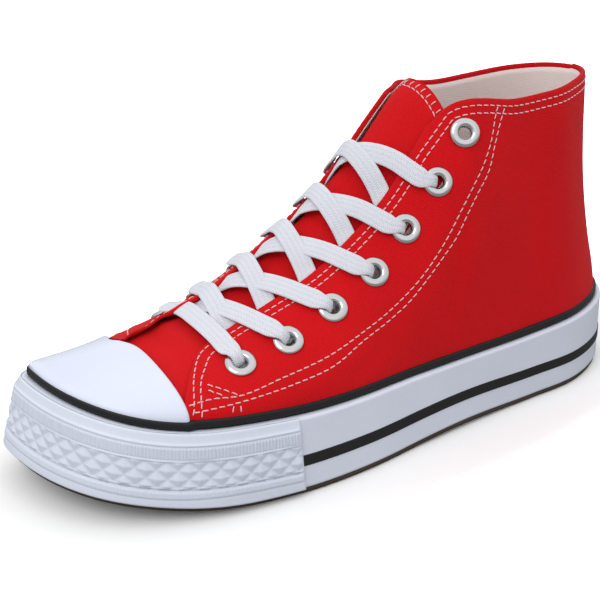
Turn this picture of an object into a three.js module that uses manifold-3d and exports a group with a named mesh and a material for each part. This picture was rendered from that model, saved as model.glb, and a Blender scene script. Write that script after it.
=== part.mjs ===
// Canvas high-top sneaker, left shoe, standing empty on its sole.
// Millimetres, +Z up, +X towards the toe, +Y towards the outer (lateral) side.
import * as THREE from 'three';
import { mergeVertices } from 'three/addons/utils/BufferGeometryUtils.js';
import Module from 'manifold-3d';

const wasm = await Module();
wasm.setup();

// ---- driving dimensions, mm ----
const LENGTH = 264; // upper, from the back of the heel to the tip of the toe
const CENTRE = { x: 5.2, y: 0.6, z: -2.2 }; // foot of the shoe's box, measured in the last's own axes
const WALL = 1.8; // two plies of canvas
const GAP = 0.3; // between pieces that touch in the real shoe
const STATIONS = 32; // sections along each side of the pieces that meet all round
const SKY = 240; // above every form
const BREADTH = 80; // beyond every form on both sides
const THROAT_LOW = 38; // below the vamp's edge of the throat
const LEAN = 3.5; // how far the shaft leans to the inner side at collar height
const LEAN_HEIGHT = 95; // rise over which it does so

const INSOLE = { thick: 3.6, inset: WALL + 0.4 };
const TREAD = { under: 2.2, core: 7, inset: 0.7, crown: 0.5, groove: 1.2, wide: 2.4, sweep: 9, half: 60 };
const GROOVES = [{ from: -112, to: -52, count: 6 }, { from: 22, to: 84, count: 6 }]; // heel, ball
// Flat lands that carry the shoe, in plan; the rest of the tread rises by the crown.
const LANDS = [[[-116, -17], [-62, -24], [-62, 31], [-116, 21]], [[10, -33], [66, -39], [66, 42], [10, 38]]];
const PIPING = { tall: 3.2, thick: 1.2 };
const BUMPER = { from: 0.715, thick: 1.7, under: 3.4 };
const CAP = { thick: 1.4, back: 96.6, crown: 4.5, spread: 9.5, axis: -16 };
const TONGUE = { thick: 1.8, depth: 3.6, top: 0.38, toe: 0.815, lateral: 27, medial: -23 };
const EYELET = { flange: 5.5, hole: 2.6, barrel: 3.0, rim: 1.0, lift: 0.45, sides: 10 };
const LACE = { wide: 8, thick: 1.2, over: 1.4, under: -1.9, inside: 3.2, reach: 6.4, steps: 8 };

// A table has named columns and a row for each section; `place` is the column it is read by.
const table = (columns, place, rows) => ({ place, rows: rows.map(
  (row) => Object.fromEntries(columns.map((name, i) => [name, row[i]]))) });

// Plan outline at the top of the sole wall: half breadths on both sides and the line of the ridge.
const OUTLINE = table(['at', 'lateral', 'medial', 'axis'], 'at', [
  [0.00, 3.0, 3.0, 3.0], [0.03, 20.5, -17.0, 3.0], [0.08, 29.8, -25.5, 2.5],
  [0.15, 36.0, -29.3, 1.5], [0.25, 37.4, -29.8, -1.0], [0.38, 38.8, -28.8, -4.5],
  [0.50, 41.1, -33.0, -7.0], [0.60, 43.9, -39.3, -8.0], [0.68, 44.2, -42.6, -8.0],
  [0.75, 42.9, -41.6, -8.5], [0.83, 39.8, -37.6, -9.5], [0.90, 32.1, -32.4, -11.0],
  [0.95, 21.9, -27.6, -13.0], [0.98, 9.3, -23.4, -14.5], [1.00, -18.2, -18.2, -18.2]]);

// Sole from the side: foot and top of the side wall, its thickness, flare of its lower edge.
const SOLE = table(['at', 'foot', 'top', 'wall', 'flare'], 'at', [
  [0.00, 0.0, 32.9, 3.4, 0.4], [0.15, 0.0, 31.8, 3.5, 1.6], [0.25, 0.0, 30.4, 3.4, 2.0],
  [0.40, 1.0, 30.0, 3.4, 3.2], [0.55, 0.0, 30.3, 3.4, 4.0], [0.70, 0.0, 30.7, 3.9, 4.4],
  [0.80, 1.0, 32.4, 4.1, 4.2], [0.90, 4.6, 34.9, 4.2, 5.0], [1.00, 11.4, 42.0, 5.0, 7.2]]);

// Cross sections of the upper: height of the ridge, and the exponents of the rounded shape: one for
// the rise, and one for the breadth on each side. The inner side falls off like a roof.
const RIDGE = table(['at', 'height', 'rise', 'lateral', 'medial'], 'at', [
  [0.00, 182, 2.00, 2.00, 2.00], [0.20, 182, 2.00, 2.00, 2.00], [0.30, 174, 2.05, 2.05, 2.05],
  [0.34, 160, 2.30, 2.10, 2.10], [0.375, 136.5, 2.90, 2.20, 2.20], [0.40, 131.5, 2.30, 2.10, 2.10],
  [0.44, 122, 2.00, 1.80, 1.80], [0.50, 105.2, 1.75, 1.60, 1.55], [0.56, 90.0, 1.70, 1.50, 1.38],
  [0.62, 78.2, 1.70, 1.45, 1.30], [0.70, 64.8, 1.75, 1.45, 1.25], [0.78, 54.0, 1.85, 1.60, 1.22],
  [0.86, 47.6, 2.00, 1.80, 1.22], [0.92, 45.4, 2.20, 2.00, 1.30], [0.96, 45.0, 2.30, 2.10, 1.50],
  [0.985, 44.6, 2.30, 2.10, 1.90], [1.00, 42.6, 2.30, 2.10, 2.10]]);

// Back of the heel: how far it stands forward of the sole, by height.
const BACK = table(['height', 'forward'], 'height', [
  [0, 0], [30, 0], [42, 2.2], [58, 6.5], [75, 9.8], [90, 11.5], [105, 11.8], [125, 11.0], [220, 11]]);
const BACK_REACH = 0.3; // the share of the length over which the back's curve fades out

// Collar line from the side, from the heel to the rounded front corner of the facings.
const COLLAR = table(['x', 'height'], 'x', [
  [-140, 129.5], [-118, 129.5], [-100, 128.4], [-80, 126.6], [-60, 125.8], [-46, 127.6],
  [-37, 128.2], [-32, 127], [-28.5, 124], [-26, 119], [-25.4, 112]]);

// Throat opening in plan, between the edges of the two facings.
const THROAT = table(['x', 'lateral', 'medial'], 'x', [
  [-70, 15.5, -14], [-30, 15.5, -14], [-6, 16.8, -12.6], [15, 16.8, -12.2], [32, 16.8, -11.8],
  [52, 15, -11.2], [66, 13.9, -10.6], [73, 12.4, -9.4], [78, 8, -5.4], [79.5, 4, -1.8]]);

// Eyelets from the toe upwards: how far forward and how high they lie on the two facings.
const EYELETS = [[70.4, 46, 73, 47.5], [50.4, 50.7, 57, 52.8], [29.7, 58.7, 39.5, 61.8], [9.6, 68.6, 23, 69.8],
  [-6.6, 82.7, 8, 80.9], [-22.2, 98.9, -8, 93.8], [-35.4, 116.6, -23, 110.7]];
// Where the lace comes out from under the two facings, level by level: lateral and medial x.
const LACE_STARTS = [[66.9, 70], [50.5, 58], [32.5, 41], [13.9, 22], [-2.6, 3]];

// ---- curves through the tables ----
const along = (turn) => (1 - Math.cos(Math.PI * turn)) / 2; // share of the length, finer at both ends
const turnAt = (at) => Math.acos(THREE.MathUtils.clamp(1 - 2 * at, -1, 1)) / Math.PI;
const atX = (x) => x / LENGTH + 0.5;

// Smooth curve through one column of a table: cubic pieces with matching slopes.
function read(source, column, where, warp = (v) => v) {
  const xs = source.rows.map((row) => warp(row[source.place]));
  const ys = source.rows.map((row) => row[column]);
  const x = warp(where);
  const last = xs.length - 2;
  const pitch = (i) => (ys[i + 1] - ys[i]) / (xs[i + 1] - xs[i]);
  const slope = (i) => {
    if (i === 0) return pitch(0);
    if (i > last) return pitch(last);
    const before = xs[i] - xs[i - 1];
    const after = xs[i + 1] - xs[i];
    return (before * pitch(i) + after * pitch(i - 1)) / (before + after);
  };
  let i = 0;
  while (i < last && x >= xs[i + 1]) i += 1;
  const h = xs[i + 1] - xs[i];
  const u = THREE.MathUtils.clamp((x - xs[i]) / h, 0, 1);
  const v = 1 - u;
  return (1 + 2 * u) * v * v * ys[i] + u * v * v * h * slope(i)
    + u * u * (3 - 2 * u) * ys[i + 1] - u * u * v * h * slope(i + 1);
}
const outline = (column, at) => read(OUTLINE, column, at, turnAt);
const sideOf = (side) => (side > 0 ? 'lateral' : 'medial');

// ---- the last: every form below is read from these ----
function section(at) {
  return {
    axis: outline('axis', at), foot: read(SOLE, 'top', at), ridge: read(RIDGE, 'height', at),
    rise: read(RIDGE, 'rise', at), lateral: read(RIDGE, 'lateral', at), medial: read(RIDGE, 'medial', at),
  };
}
const fade = (u) => u * u * (3 - 2 * u);
const forward = (at, z) =>
  read(BACK, 'forward', z) * fade(THREE.MathUtils.clamp(1 - at / BACK_REACH, 0, 1));
const lean = (at, z, foot) => -LEAN * THREE.MathUtils.clamp((z - foot) / LEAN_HEIGHT, 0, 1.2)
  * THREE.MathUtils.clamp((0.5 - at) / 0.2, 0, 1);

// Point of the upper's outer face. `climb` runs from 0 at the sole wall to 1 at the ridge;
// below 0 the wall goes straight down, by `climb` times the height down to `low`.
function skin(turn, side, climb, low = 0) {
  const at = along(turn);
  const s = section(at);
  const edge = outline(sideOf(side), at);
  const x = LENGTH * (at - 0.5);
  if (climb <= 0) return new THREE.Vector3(x, edge, s.foot + climb * (s.foot - low));
  const swing = climb * Math.PI / 2;
  const z = s.foot + (s.ridge - s.foot) * Math.sin(swing) ** (2 / s.rise);
  const reach = climb >= 1 ? 0 : Math.cos(swing) ** (2 / s[sideOf(side)]);
  const y = s.axis + (edge - s.axis) * reach + lean(at, z, s.foot);
  return new THREE.Vector3(x + forward(at, z), y, z);
}

// Outward normal of that face, from its two tangents; in the plane of symmetry at both ends.
function normal(turn, side, climb, low) {
  const step = 2e-3;
  const end = turn < 1e-6 || turn > 1 - 1e-6;
  const hand = end ? 1 : side;
  const [t0, t1] = [Math.max(0, turn - step), Math.min(1, turn + step)];
  if (climb > 0.999 && !end) {
    const run = skin(t1, 1, 1, low).sub(skin(t0, 1, 1, low)).normalize();
    return new THREE.Vector3(0, 0, 1).addScaledVector(run, -run.z).normalize();
  }
  const [c0, c1] = [Math.max(-1, climb - step), Math.min(0.9995, climb + step)];
  const run = skin(t1, hand, climb, low).sub(skin(t0, hand, climb, low));
  const up = skin(turn, hand, c1, low).sub(skin(turn, hand, c0, low));
  const out = run.cross(up).multiplyScalar(-hand);
  if (end) out.y = 0;
  return out.normalize();
}
const offset = (turn, side, climb, out, low) =>
  skin(turn, side, climb, low).addScaledVector(normal(turn, side, climb, low), out);

// Point of the plan outline grown outwards, at height z.
function ring(turn, side, grow, z) {
  const step = 2e-3;
  const end = turn < 1e-6 || turn > 1 - 1e-6;
  const plan = (t) => new THREE.Vector2(LENGTH * (along(t) - 0.5), outline(sideOf(side), along(t)));
  const here = plan(turn);
  if (end) return new THREE.Vector3(here.x + (turn < 0.5 ? -grow : grow), here.y, z);
  const run = plan(Math.min(1, turn + step)).sub(plan(Math.max(0, turn - step))).normalize();
  return new THREE.Vector3(here.x - side * run.y * grow, here.y + side * run.x * grow, z);
}

// ---- meshes and solids ----
function mesh(points, faces) {
  const geometry = new THREE.BufferGeometry();
  geometry.setAttribute('position', new THREE.Float32BufferAttribute(points.flatMap((p) => p.toArray()), 3));
  geometry.setIndex(faces);
  return geometry;
}

// Closed loops of points joined one to the next. `closed` joins the last loop to the first;
// otherwise the two end loops are filled, unless they are already flat.
function loft(loops, closed = false, fill = true) {
  const size = loops[0].length;
  const points = loops.flat();
  const faces = [];
  const count = closed ? loops.length : loops.length - 1;
  for (let i = 0; i < count; i += 1) {
    const j = (i + 1) % loops.length;
    for (let k = 0; k < size; k += 1) {
      const n = (k + 1) % size;
      const [a, b, c, d] = [i * size + k, i * size + n, j * size + n, j * size + k];
      faces.push(a, b, c, a, c, d);
    }
  }
  if (!closed && fill) {
    for (const [start, turnOver] of [[0, true], [(loops.length - 1) * size, false]]) {
      for (let k = 1; k + 1 < size; k += 1) {
        const tri = [start, start + k, start + k + 1];
        faces.push(...(turnOver ? tri.reverse() : tri));
      }
    }
  }
  return mesh(points, faces);
}

function solid(geometry) {
  const bare = geometry.clone();
  bare.deleteAttribute('normal');
  bare.deleteAttribute('uv');
  const joined = mergeVertices(bare, 1e-4);
  const index = joined.index.array;
  const kept = [];
  for (let i = 0; i < index.length; i += 3) {
    const [a, b, c] = [index[i], index[i + 1], index[i + 2]];
    if (a !== b && b !== c && c !== a) kept.push(a, b, c);
  }
  const make = (triangles) => new wasm.Manifold(new wasm.Mesh({
    numProp: 3, vertProperties: new Float32Array(joined.attributes.position.array),
    triVerts: new Uint32Array(triangles) }));
  const first = make(kept);
  if (first.volume() >= 0) return first;
  const turned = [];
  for (let i = 0; i < kept.length; i += 3) turned.push(kept[i], kept[i + 2], kept[i + 1]);
  return make(turned);
}

function geometryOf(body) {
  const { vertProperties, triVerts } = body.getMesh();
  const geometry = new THREE.BufferGeometry();
  geometry.setAttribute('position', new THREE.Float32BufferAttribute(vertProperties, 3));
  geometry.setIndex(Array.from(triVerts));
  return geometry;
}

// Prism over a closed outline: `upright` outlines are (x, y) and rise along Z,
// the others are (x, z) and run along Y.
function prism(outlinePoints, from, to, upright = true) {
  const place = upright ? ([x, y], z) => new THREE.Vector3(x, y, z)
    : ([x, z], y) => new THREE.Vector3(x, y, z);
  const flat = outlinePoints.map(([u, v]) => new THREE.Vector2(u, v));
  if (THREE.ShapeUtils.isClockWise(flat)) flat.reverse();
  const caps = THREE.ShapeUtils.triangulateShape(flat, []);
  const size = flat.length;
  const points = [from, to].flatMap((level) => flat.map((p) => place(p.toArray(), level)));
  const faces = [];
  for (let k = 0; k < size; k += 1) {
    const n = (k + 1) % size;
    faces.push(k, n, size + n, k, size + n, size + k);
  }
  for (const [a, b, c] of caps) faces.push(c, b, a, size + a, size + b, size + c);
  return solid(mesh(points, faces));
}

// Filled form of the upper, its face moved out by `out`, from the station `start` to the toe.
function form({ out = 0, low, start = 0, stations = 40, rows = 13, legs = 1 }) {
  const first = turnAt(start);
  const loops = [];
  for (let i = 0; i <= stations; i += 1) {
    const turn = first + (1 - first) * i / stations;
    const foot = low(along(turn));
    const climbs = [];
    for (let j = 0; j < legs; j += 1) climbs.push(-1 + j / legs);
    for (let j = 0; j <= rows; j += 1) climbs.push(j / rows);
    const lateral = climbs.map((c) => offset(turn, 1, c, out, foot));
    const medial = climbs.slice(0, -1).map((c) => offset(turn, -1, c, out, foot));
    loops.push([...lateral, ...medial.reverse()]);
  }
  return solid(loft(loops));
}

// A band that runs round the whole outline, or over its front only, with its profile
// given as [grow, z] pairs for each station.
function band(profile, stations, start = 0) {
  const first = turnAt(start);
  const turns = Array.from({ length: stations + 1 }, (_, i) => first + (1 - first) * i / stations);
  const lateral = turns.map((turn) => profile(along(turn)).map(([g, z]) => ring(turn, 1, g, z)));
  const medial = turns.slice(start > 0 ? 0 : 1, -1).reverse()
    .map((turn) => profile(along(turn)).map(([g, z]) => ring(turn, -1, g, z)));
  return solid(loft([...lateral, ...medial], start === 0));
}

// ---- sole ----
const wallFoot = (at) => Math.max(0, read(SOLE, 'foot', at)); // flat under the heel and the ball
const wallTop = (at) => read(SOLE, 'top', at);
const wallOut = (at) => read(SOLE, 'wall', at);
const flare = (at) => read(SOLE, 'flare', at);

// A flat piece across the shoe: each station's outline given as [grow, z] pairs for one side.
function plate(profile, stations) {
  const loops = [];
  for (let i = 0; i <= stations; i += 1) {
    const turn = i / stations;
    const pairs = profile(along(turn));
    const lateral = pairs.map(([g, z]) => ring(turn, 1, g, z));
    const medial = pairs.map(([g, z]) => ring(turn, -1, g, z));
    loops.push([...lateral, ...medial.reverse()]);
  }
  return solid(loft(loops));
}

// V-shaped grooves across the tread, evenly spaced over one stretch of it.
function grooves({ from, to, count }) {
  const { under, groove, wide, sweep, half } = TREAD;
  return Array.from({ length: count }, (_, i) => {
    const x = from + (to - from) * i / (count - 1);
    const arms = [[x - sweep, half], [x, 0], [x - sweep, -half]];
    const back = arms.map(([u, v]) => [u - wide, v]).reverse();
    return prism([...arms, ...back], -2 * under, groove - under);
  });
}

function outsole() {
  let body = plate((at) => {
    const edge = wallOut(at) + flare(at) - TREAD.inset;
    const z = wallFoot(at);
    const low = z - TREAD.under + TREAD.crown;
    return [[edge - 0.6, low], [edge, low + 0.6], [edge, z], [0, z], [0, z + TREAD.core]];
  }, STATIONS);
  for (const land of LANDS) body = body.add(prism(land, -TREAD.under, TREAD.core / 2));
  for (const groove of GROOVES.flatMap(grooves)) body = body.subtract(groove);
  return body;
}

function foxing() {
  return band((at) => {
    const [out, bottom, top] = [wallOut(at), wallFoot(at) + GAP, wallTop(at) - PIPING.tall];
    const low = out + flare(at);
    return [[GAP, bottom], [low - 0.8, bottom], [low, bottom + 1.4],
      [out + 0.45 * flare(at), (top + bottom) / 2], [out, top - 1.6], [out - 1.2, top - 0.2], [GAP, top]];
  }, STATIONS);
}

function piping() {
  return band((at) => {
    const top = wallTop(at);
    const bottom = top - PIPING.tall + GAP;
    const out = GAP + PIPING.thick;
    return [[GAP, bottom], [out, bottom], [out, top - 0.5], [out - 0.4, top], [GAP, top]];
  }, STATIONS);
}

function toeBumper() {
  return band((at) => {
    const [out, bottom, top] = [wallOut(at), wallFoot(at) + GAP, wallTop(at) - PIPING.tall];
    const low = out + flare(at);
    const mid = out + 0.45 * flare(at);
    const inner = [[low + GAP, bottom + 1.6], [mid + GAP, (top + bottom) / 2], [out + GAP, top - 1.9]];
    const outer = [[out + GAP + BUMPER.thick, top - 2.6], [mid + GAP + BUMPER.thick, (top + bottom) / 2],
      [low + GAP + BUMPER.thick, bottom + BUMPER.under]];
    return [...inner, ...outer];
  }, 20, BUMPER.from);
}

function insole() {
  return plate((at) => {
    const z = wallFoot(at) + TREAD.core + GAP;
    return [[-INSOLE.inset, z], [-INSOLE.inset, z + INSOLE.thick]];
  }, 24);
}

// ---- upper ----
const upperLow = (at) => wallFoot(at) + TREAD.core + GAP;

// Section height over a plan point: the face of the upper as a height.
function heightOver(x, y) {
  const at = atX(x);
  const s = section(at);
  const side = sideOf(y > s.axis ? 1 : -1);
  const edge = outline(side, at);
  let z = s.ridge;
  for (let i = 0; i < 12; i += 1) {
    const reach = THREE.MathUtils.clamp((y - lean(at, z, s.foot) - s.axis) / (edge - s.axis), 0, 1);
    z = s.foot + (s.ridge - s.foot) * (1 - reach ** s[side]) ** (1 / s.rise);
  }
  return z;
}

// Station, side and climb of the face's point at x and a height.
function climbTo(x, side, z) {
  const s = section(atX(x));
  const rise = THREE.MathUtils.clamp((z - s.foot) / (s.ridge - s.foot), 0, 1);
  return { turn: turnAt(atX(x)), side, climb: Math.asin(rise ** (s.rise / 2)) * 2 / Math.PI };
}

const eyeletPlaces = EYELETS.map(([lateral, high, medial, highInner]) => {
  const place = (x, side, z) => {
    const { turn, climb } = climbTo(x, side, z);
    return { point: skin(turn, side, climb), out: normal(turn, side, climb) };
  };
  return { lateral: place(lateral, 1, high), medial: place(medial, -1, highInner) };
});

function turnedTo(geometry, point, out) {
  const spin = new THREE.Quaternion().setFromUnitVectors(new THREE.Vector3(0, 1, 0), out);
  return geometry.applyQuaternion(spin).translate(point.x, point.y, point.z);
}

// Everything between the facings, from the vamp up.
function throatCutter() {
  const [first, last] = [THROAT.rows[0].x, THROAT.rows.at(-1).x];
  const xs = Array.from({ length: 22 }, (_, i) => first + (last - first) * turnAt(i / 42) * 2);
  const lateral = xs.map((x) => [x, read(THROAT, 'lateral', x)]);
  const medial = xs.map((x) => [x, read(THROAT, 'medial', x)]);
  return prism([...lateral, ...medial.reverse()], THROAT_LOW, SKY);
}

// Everything above the collar line.
function collarCutter() {
  const [first, last] = [COLLAR.rows[0].x, COLLAR.rows.at(-1).x];
  const line = Array.from({ length: 25 }, (_, i) => {
    const x = first + (last - first) * i / 24;
    return [x, read(COLLAR, 'height', x)];
  });
  return prism([...line, [last, SKY], [first, SKY]], -BREADTH, BREADTH, false);
}

function upper() {
  let body = form({ low: upperLow, stations: STATIONS, rows: 10 });
  body = body.subtract(form({ out: -WALL, low: (at) => upperLow(at) - 4, stations: STATIONS, rows: 10 }));
  body = body.subtract(throatCutter()).subtract(collarCutter());
  for (const pair of eyeletPlaces) {
    for (const { point, out } of [pair.lateral, pair.medial]) {
      const drill = new THREE.CylinderGeometry(EYELET.barrel + GAP, EYELET.barrel + GAP, 12, 8);
      body = body.subtract(solid(turnedTo(drill, point, out)));
    }
  }
  return body;
}

function toeCap() {
  const options = { low: (at) => wallTop(at) - 3, start: 0.82, stations: 10, rows: 8 };
  const shell = form({ ...options, out: GAP + CAP.thick }).subtract(form({ ...options, out: GAP }));
  const ys = Array.from({ length: 17 }, (_, i) => -60 + 120 * i / 16);
  const edge = ys.map((y) => [CAP.back + CAP.crown * Math.exp(-(((y - CAP.axis) / CAP.spread) ** 2)), y]);
  const front = prism([...edge, [160, 60], [160, -60]].reverse(), 0, 80);
  const xs = Array.from({ length: 12 }, (_, i) => 80 + 60 * i / 11);
  const above = [...xs.map((x) => [x, wallTop(Math.min(1, atX(x))) + 1.6 * GAP]), [140, 90], [80, 90]];
  return shell.intersect(front).intersect(prism(above, -60, 60, false));
}

// The tongue follows the upper's own section, deeper than its wall, from under the vamp to the top.
function tongue() {
  const [from, to, stations, across] = [turnAt(TONGUE.top), turnAt(TONGUE.toe), 16, 4];
  const loops = [];
  for (let i = 0; i <= stations; i += 1) {
    const turn = from + (to - from) * i / stations;
    const x = LENGTH * (along(turn) - 0.5);
    const climbOf = (side) => climbTo(x, side, heightOver(x, side > 0 ? TONGUE.lateral : TONGUE.medial)).climb;
    const [lateral, medial] = [climbOf(1), climbOf(-1)];
    const places = [];
    for (let j = 0; j <= across; j += 1) places.push([1, lateral + (1 - lateral) * j / across]);
    for (let j = 1; j <= across; j += 1) places.push([-1, 1 - (1 - medial) * j / across]);
    const face = (out) => places.map(([side, climb]) => offset(turn, side, climb, out));
    loops.push([...face(-TONGUE.depth), ...face(-TONGUE.depth - TONGUE.thick).reverse()]);
  }
  return solid(loft(loops));
}

// ---- eyelets ----
function eyelet({ point, out }) {
  const { flange, hole, barrel, rim, lift, sides } = EYELET;
  const inside = -WALL - 0.7;
  const profile = [[hole, inside], [barrel, inside], [barrel, lift], [flange, lift],
    [flange - 0.6, lift + rim], [hole + 0.4, lift + rim]]
    .map(([r, z]) => new THREE.Vector2(r, z));
  return solid(turnedTo(new THREE.LatheGeometry([...profile, profile[0]], sides), point, out));
}

// ---- lace ----
// Flat strip along a path; each point carries the outward direction of the face below it.
function strip(path, wide = LACE.wide) {
  const loops = path.map(({ point, out }, i) => {
    const before = path[Math.max(0, i - 1)].point;
    const after = path[Math.min(path.length - 1, i + 1)].point;
    const run = after.clone().sub(before).normalize();
    const up = out.clone().addScaledVector(run, -out.dot(run)).normalize();
    const across = new THREE.Vector3().crossVectors(run, up);
    const corner = (a, b) => point.clone().addScaledVector(across, a * wide / 2)
      .addScaledVector(up, b * LACE.thick);
    return [corner(-1, 0), corner(1, 0), corner(1, 1), corner(-1, 1)];
  });
  return solid(loft(loops));
}

function faceAt(x, y) {
  const side = y > outline('axis', atX(x)) ? 1 : -1;
  const { turn, climb } = climbTo(x, side, heightOver(x, y));
  return { point: skin(turn, side, climb), out: normal(turn, side, climb) };
}

// Path over the throat between two plan points, its lift above the face going from `a` to `b`.
function lacePath(start, end, a, b) {
  return Array.from({ length: LACE.steps + 1 }, (_, i) => {
    const u = i / LACE.steps;
    const { point, out } = faceAt(start[0] + (end[0] - start[0]) * u, start[1] + (end[1] - start[1]) * u);
    const lift = a + (b - a) * fade(THREE.MathUtils.clamp((u - 0.1) / 0.45, 0, 1));
    return { point: point.addScaledVector(out, lift), out };
  });
}

// Plan point on the way from an eyelet to another, `LACE.reach` before the second one.
function shortOf(from, to) {
  const run = new THREE.Vector3().subVectors(from, to).normalize();
  return to.clone().addScaledVector(run, LACE.reach);
}

function laceBar(pair) {
  const [a, b] = [pair.medial.point, pair.lateral.point];
  const [start, end] = [shortOf(b, a), shortOf(a, b)];
  return strip(lacePath([start.x, start.y], [end.x, end.y], LACE.over, LACE.over));
}

function laceCross(starts, upperPair) {
  const strips = [['medial', 'lateral', -1], ['lateral', 'medial', 1]].map(([near, far, side], i) => {
    const x = starts[1 - i];
    const start = faceAt(x, read(THROAT, near, x) - side * LACE.inside).point;
    const end = shortOf(start, upperPair[far].point);
    return strip(lacePath([start.x, start.y], [end.x, end.y], LACE.under, LACE.over));
  });
  return strips[0].add(strips[1]);
}

// ---- assembly ----
const finish = (color, roughness, metalness = 0) => new THREE.MeshStandardMaterial({ color, roughness, metalness });
const FINISHES = {
  canvas: finish('#c30f1f', 0.9), rubber: finish('#dfe3ec', 0.45), stripe: finish('#17191c', 0.5),
  gum: finish('#8a6a48', 0.7), lining: finish('#cfc9c0', 0.95), metal: finish('#c9cacc', 0.25, 1),
  lace: finish('#e6e9f0', 0.9),
};

const shoe = new THREE.Group();
function add(name, body, material) {
  const geometry = geometryOf(body).translate(-CENTRE.x, -CENTRE.y, -CENTRE.z);
  const piece = new THREE.Mesh(geometry, material);
  piece.name = name;
  shoe.add(piece);
}

add('outsole', outsole(), FINISHES.gum);
add('foxing', foxing(), FINISHES.rubber);
add('toe_bumper', toeBumper(), FINISHES.rubber);
add('piping', piping(), FINISHES.stripe);
add('toe_cap', toeCap(), FINISHES.rubber);
add('upper', upper(), FINISHES.canvas);
add('tongue', tongue(), FINISHES.canvas);
add('insole', insole(), FINISHES.lining);
eyeletPlaces.forEach((pair, i) => {
  add(`eyelet_lateral_${i + 1}`, eyelet(pair.lateral), FINISHES.metal);
  add(`eyelet_medial_${i + 1}`, eyelet(pair.medial), FINISHES.metal);
});
add('lace_bar_1', laceBar(eyeletPlaces[0]), FINISHES.lace);
for (let k = 2; k <= 6; k += 1) {
  add(`lace_cross_${k}`, laceCross(LACE_STARTS[k - 2], eyeletPlaces[k - 1]), FINISHES.lace);
}

export default shoe;
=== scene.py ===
"""Canvas high-top sneaker, left shoe: cloth upper, vulcanised rubber sole, rolled eyelets, flat lace.

Lengths are in millimetres in the last's own axes (+X to the toe, +Y to the outer side, +Z up)
until a mesh is made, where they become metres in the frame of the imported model.
"""
import logging
from dataclasses import dataclass, field
from enum import Enum
from typing import Callable, Sequence

import bpy
import numpy as np
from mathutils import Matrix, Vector


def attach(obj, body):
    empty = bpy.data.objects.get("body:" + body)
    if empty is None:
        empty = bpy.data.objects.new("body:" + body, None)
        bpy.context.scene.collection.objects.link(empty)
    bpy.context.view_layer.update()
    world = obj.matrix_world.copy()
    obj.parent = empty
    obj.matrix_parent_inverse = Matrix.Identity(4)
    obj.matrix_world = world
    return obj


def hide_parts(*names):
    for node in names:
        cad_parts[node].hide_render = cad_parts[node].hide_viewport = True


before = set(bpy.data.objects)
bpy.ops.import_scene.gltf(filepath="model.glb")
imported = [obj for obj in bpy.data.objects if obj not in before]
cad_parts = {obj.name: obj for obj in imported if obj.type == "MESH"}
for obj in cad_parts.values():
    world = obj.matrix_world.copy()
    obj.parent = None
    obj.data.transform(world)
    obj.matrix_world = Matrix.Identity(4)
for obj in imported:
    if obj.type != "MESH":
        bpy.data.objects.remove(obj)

log = logging.getLogger("sneaker")
Array = np.ndarray
BODY = "root"
MM = 0.001
CENTRE = np.array([5.2, 0.6, -2.2])  # foot of the shoe's box in the last's axes


# ---------------------------------------------------------------- curves

def ease(u: Array | float) -> Array:
    """Smooth step: 3u^2 - 2u^3, held at 0 and 1 outside the unit range."""
    u = np.clip(u, 0.0, 1.0)
    return u * u * (3 - 2 * u)


def along(turn: Array | float) -> Array:
    """Share of the length at a turn: half of one minus the cosine of pi times the turn."""
    return (1 - np.cos(np.pi * np.asarray(turn, float))) / 2


def turn_at(share: Array | float) -> Array:
    """Turn at a share of the length, the inverse of `along`."""
    return np.arccos(np.clip(1 - 2 * np.asarray(share, float), -1, 1)) / np.pi


@dataclass(frozen=True)
class Curve:
    """Smooth line through fixed values: cubic pieces whose slopes match where they meet."""

    places: tuple[float, ...]
    values: tuple[float, ...]
    by_turn: bool = False

    def __call__(self, where: Array | float) -> Array:
        """Value of the line.

        Args:
            where: Places to read, in the units of `places`.

        Returns:
            Values of the same shape; each cubic piece starts and ends with the weighted mean slope.
        """
        xs, ys, x = np.array(self.places), np.array(self.values), np.asarray(where, float)
        if self.by_turn:
            xs, x = turn_at(xs), turn_at(x)
        pitch, step = np.diff(ys) / np.diff(xs), np.diff(xs)
        slope = np.concatenate([pitch[:1], (step[:-1] * pitch[1:] + step[1:] * pitch[:-1])
                                / (step[:-1] + step[1:]), pitch[-1:]])
        i = np.clip(np.searchsorted(xs, x, side="right") - 1, 0, len(xs) - 2)
        u = np.clip((x - xs[i]) / step[i], 0, 1)
        w = 1 - u
        return ((1 + 2 * u) * w * w * ys[i] + u * w * w * step[i] * slope[i]
                + u * u * (3 - 2 * u) * ys[i + 1] - u * u * w * step[i] * slope[i + 1])


def curves(rows: Sequence[Sequence[float]], by_turn: bool = False) -> list[Curve]:
    """One curve for each column of a table whose first column is the place."""
    columns = list(zip(*rows))
    return [Curve(columns[0], column, by_turn) for column in columns[1:]]


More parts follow.
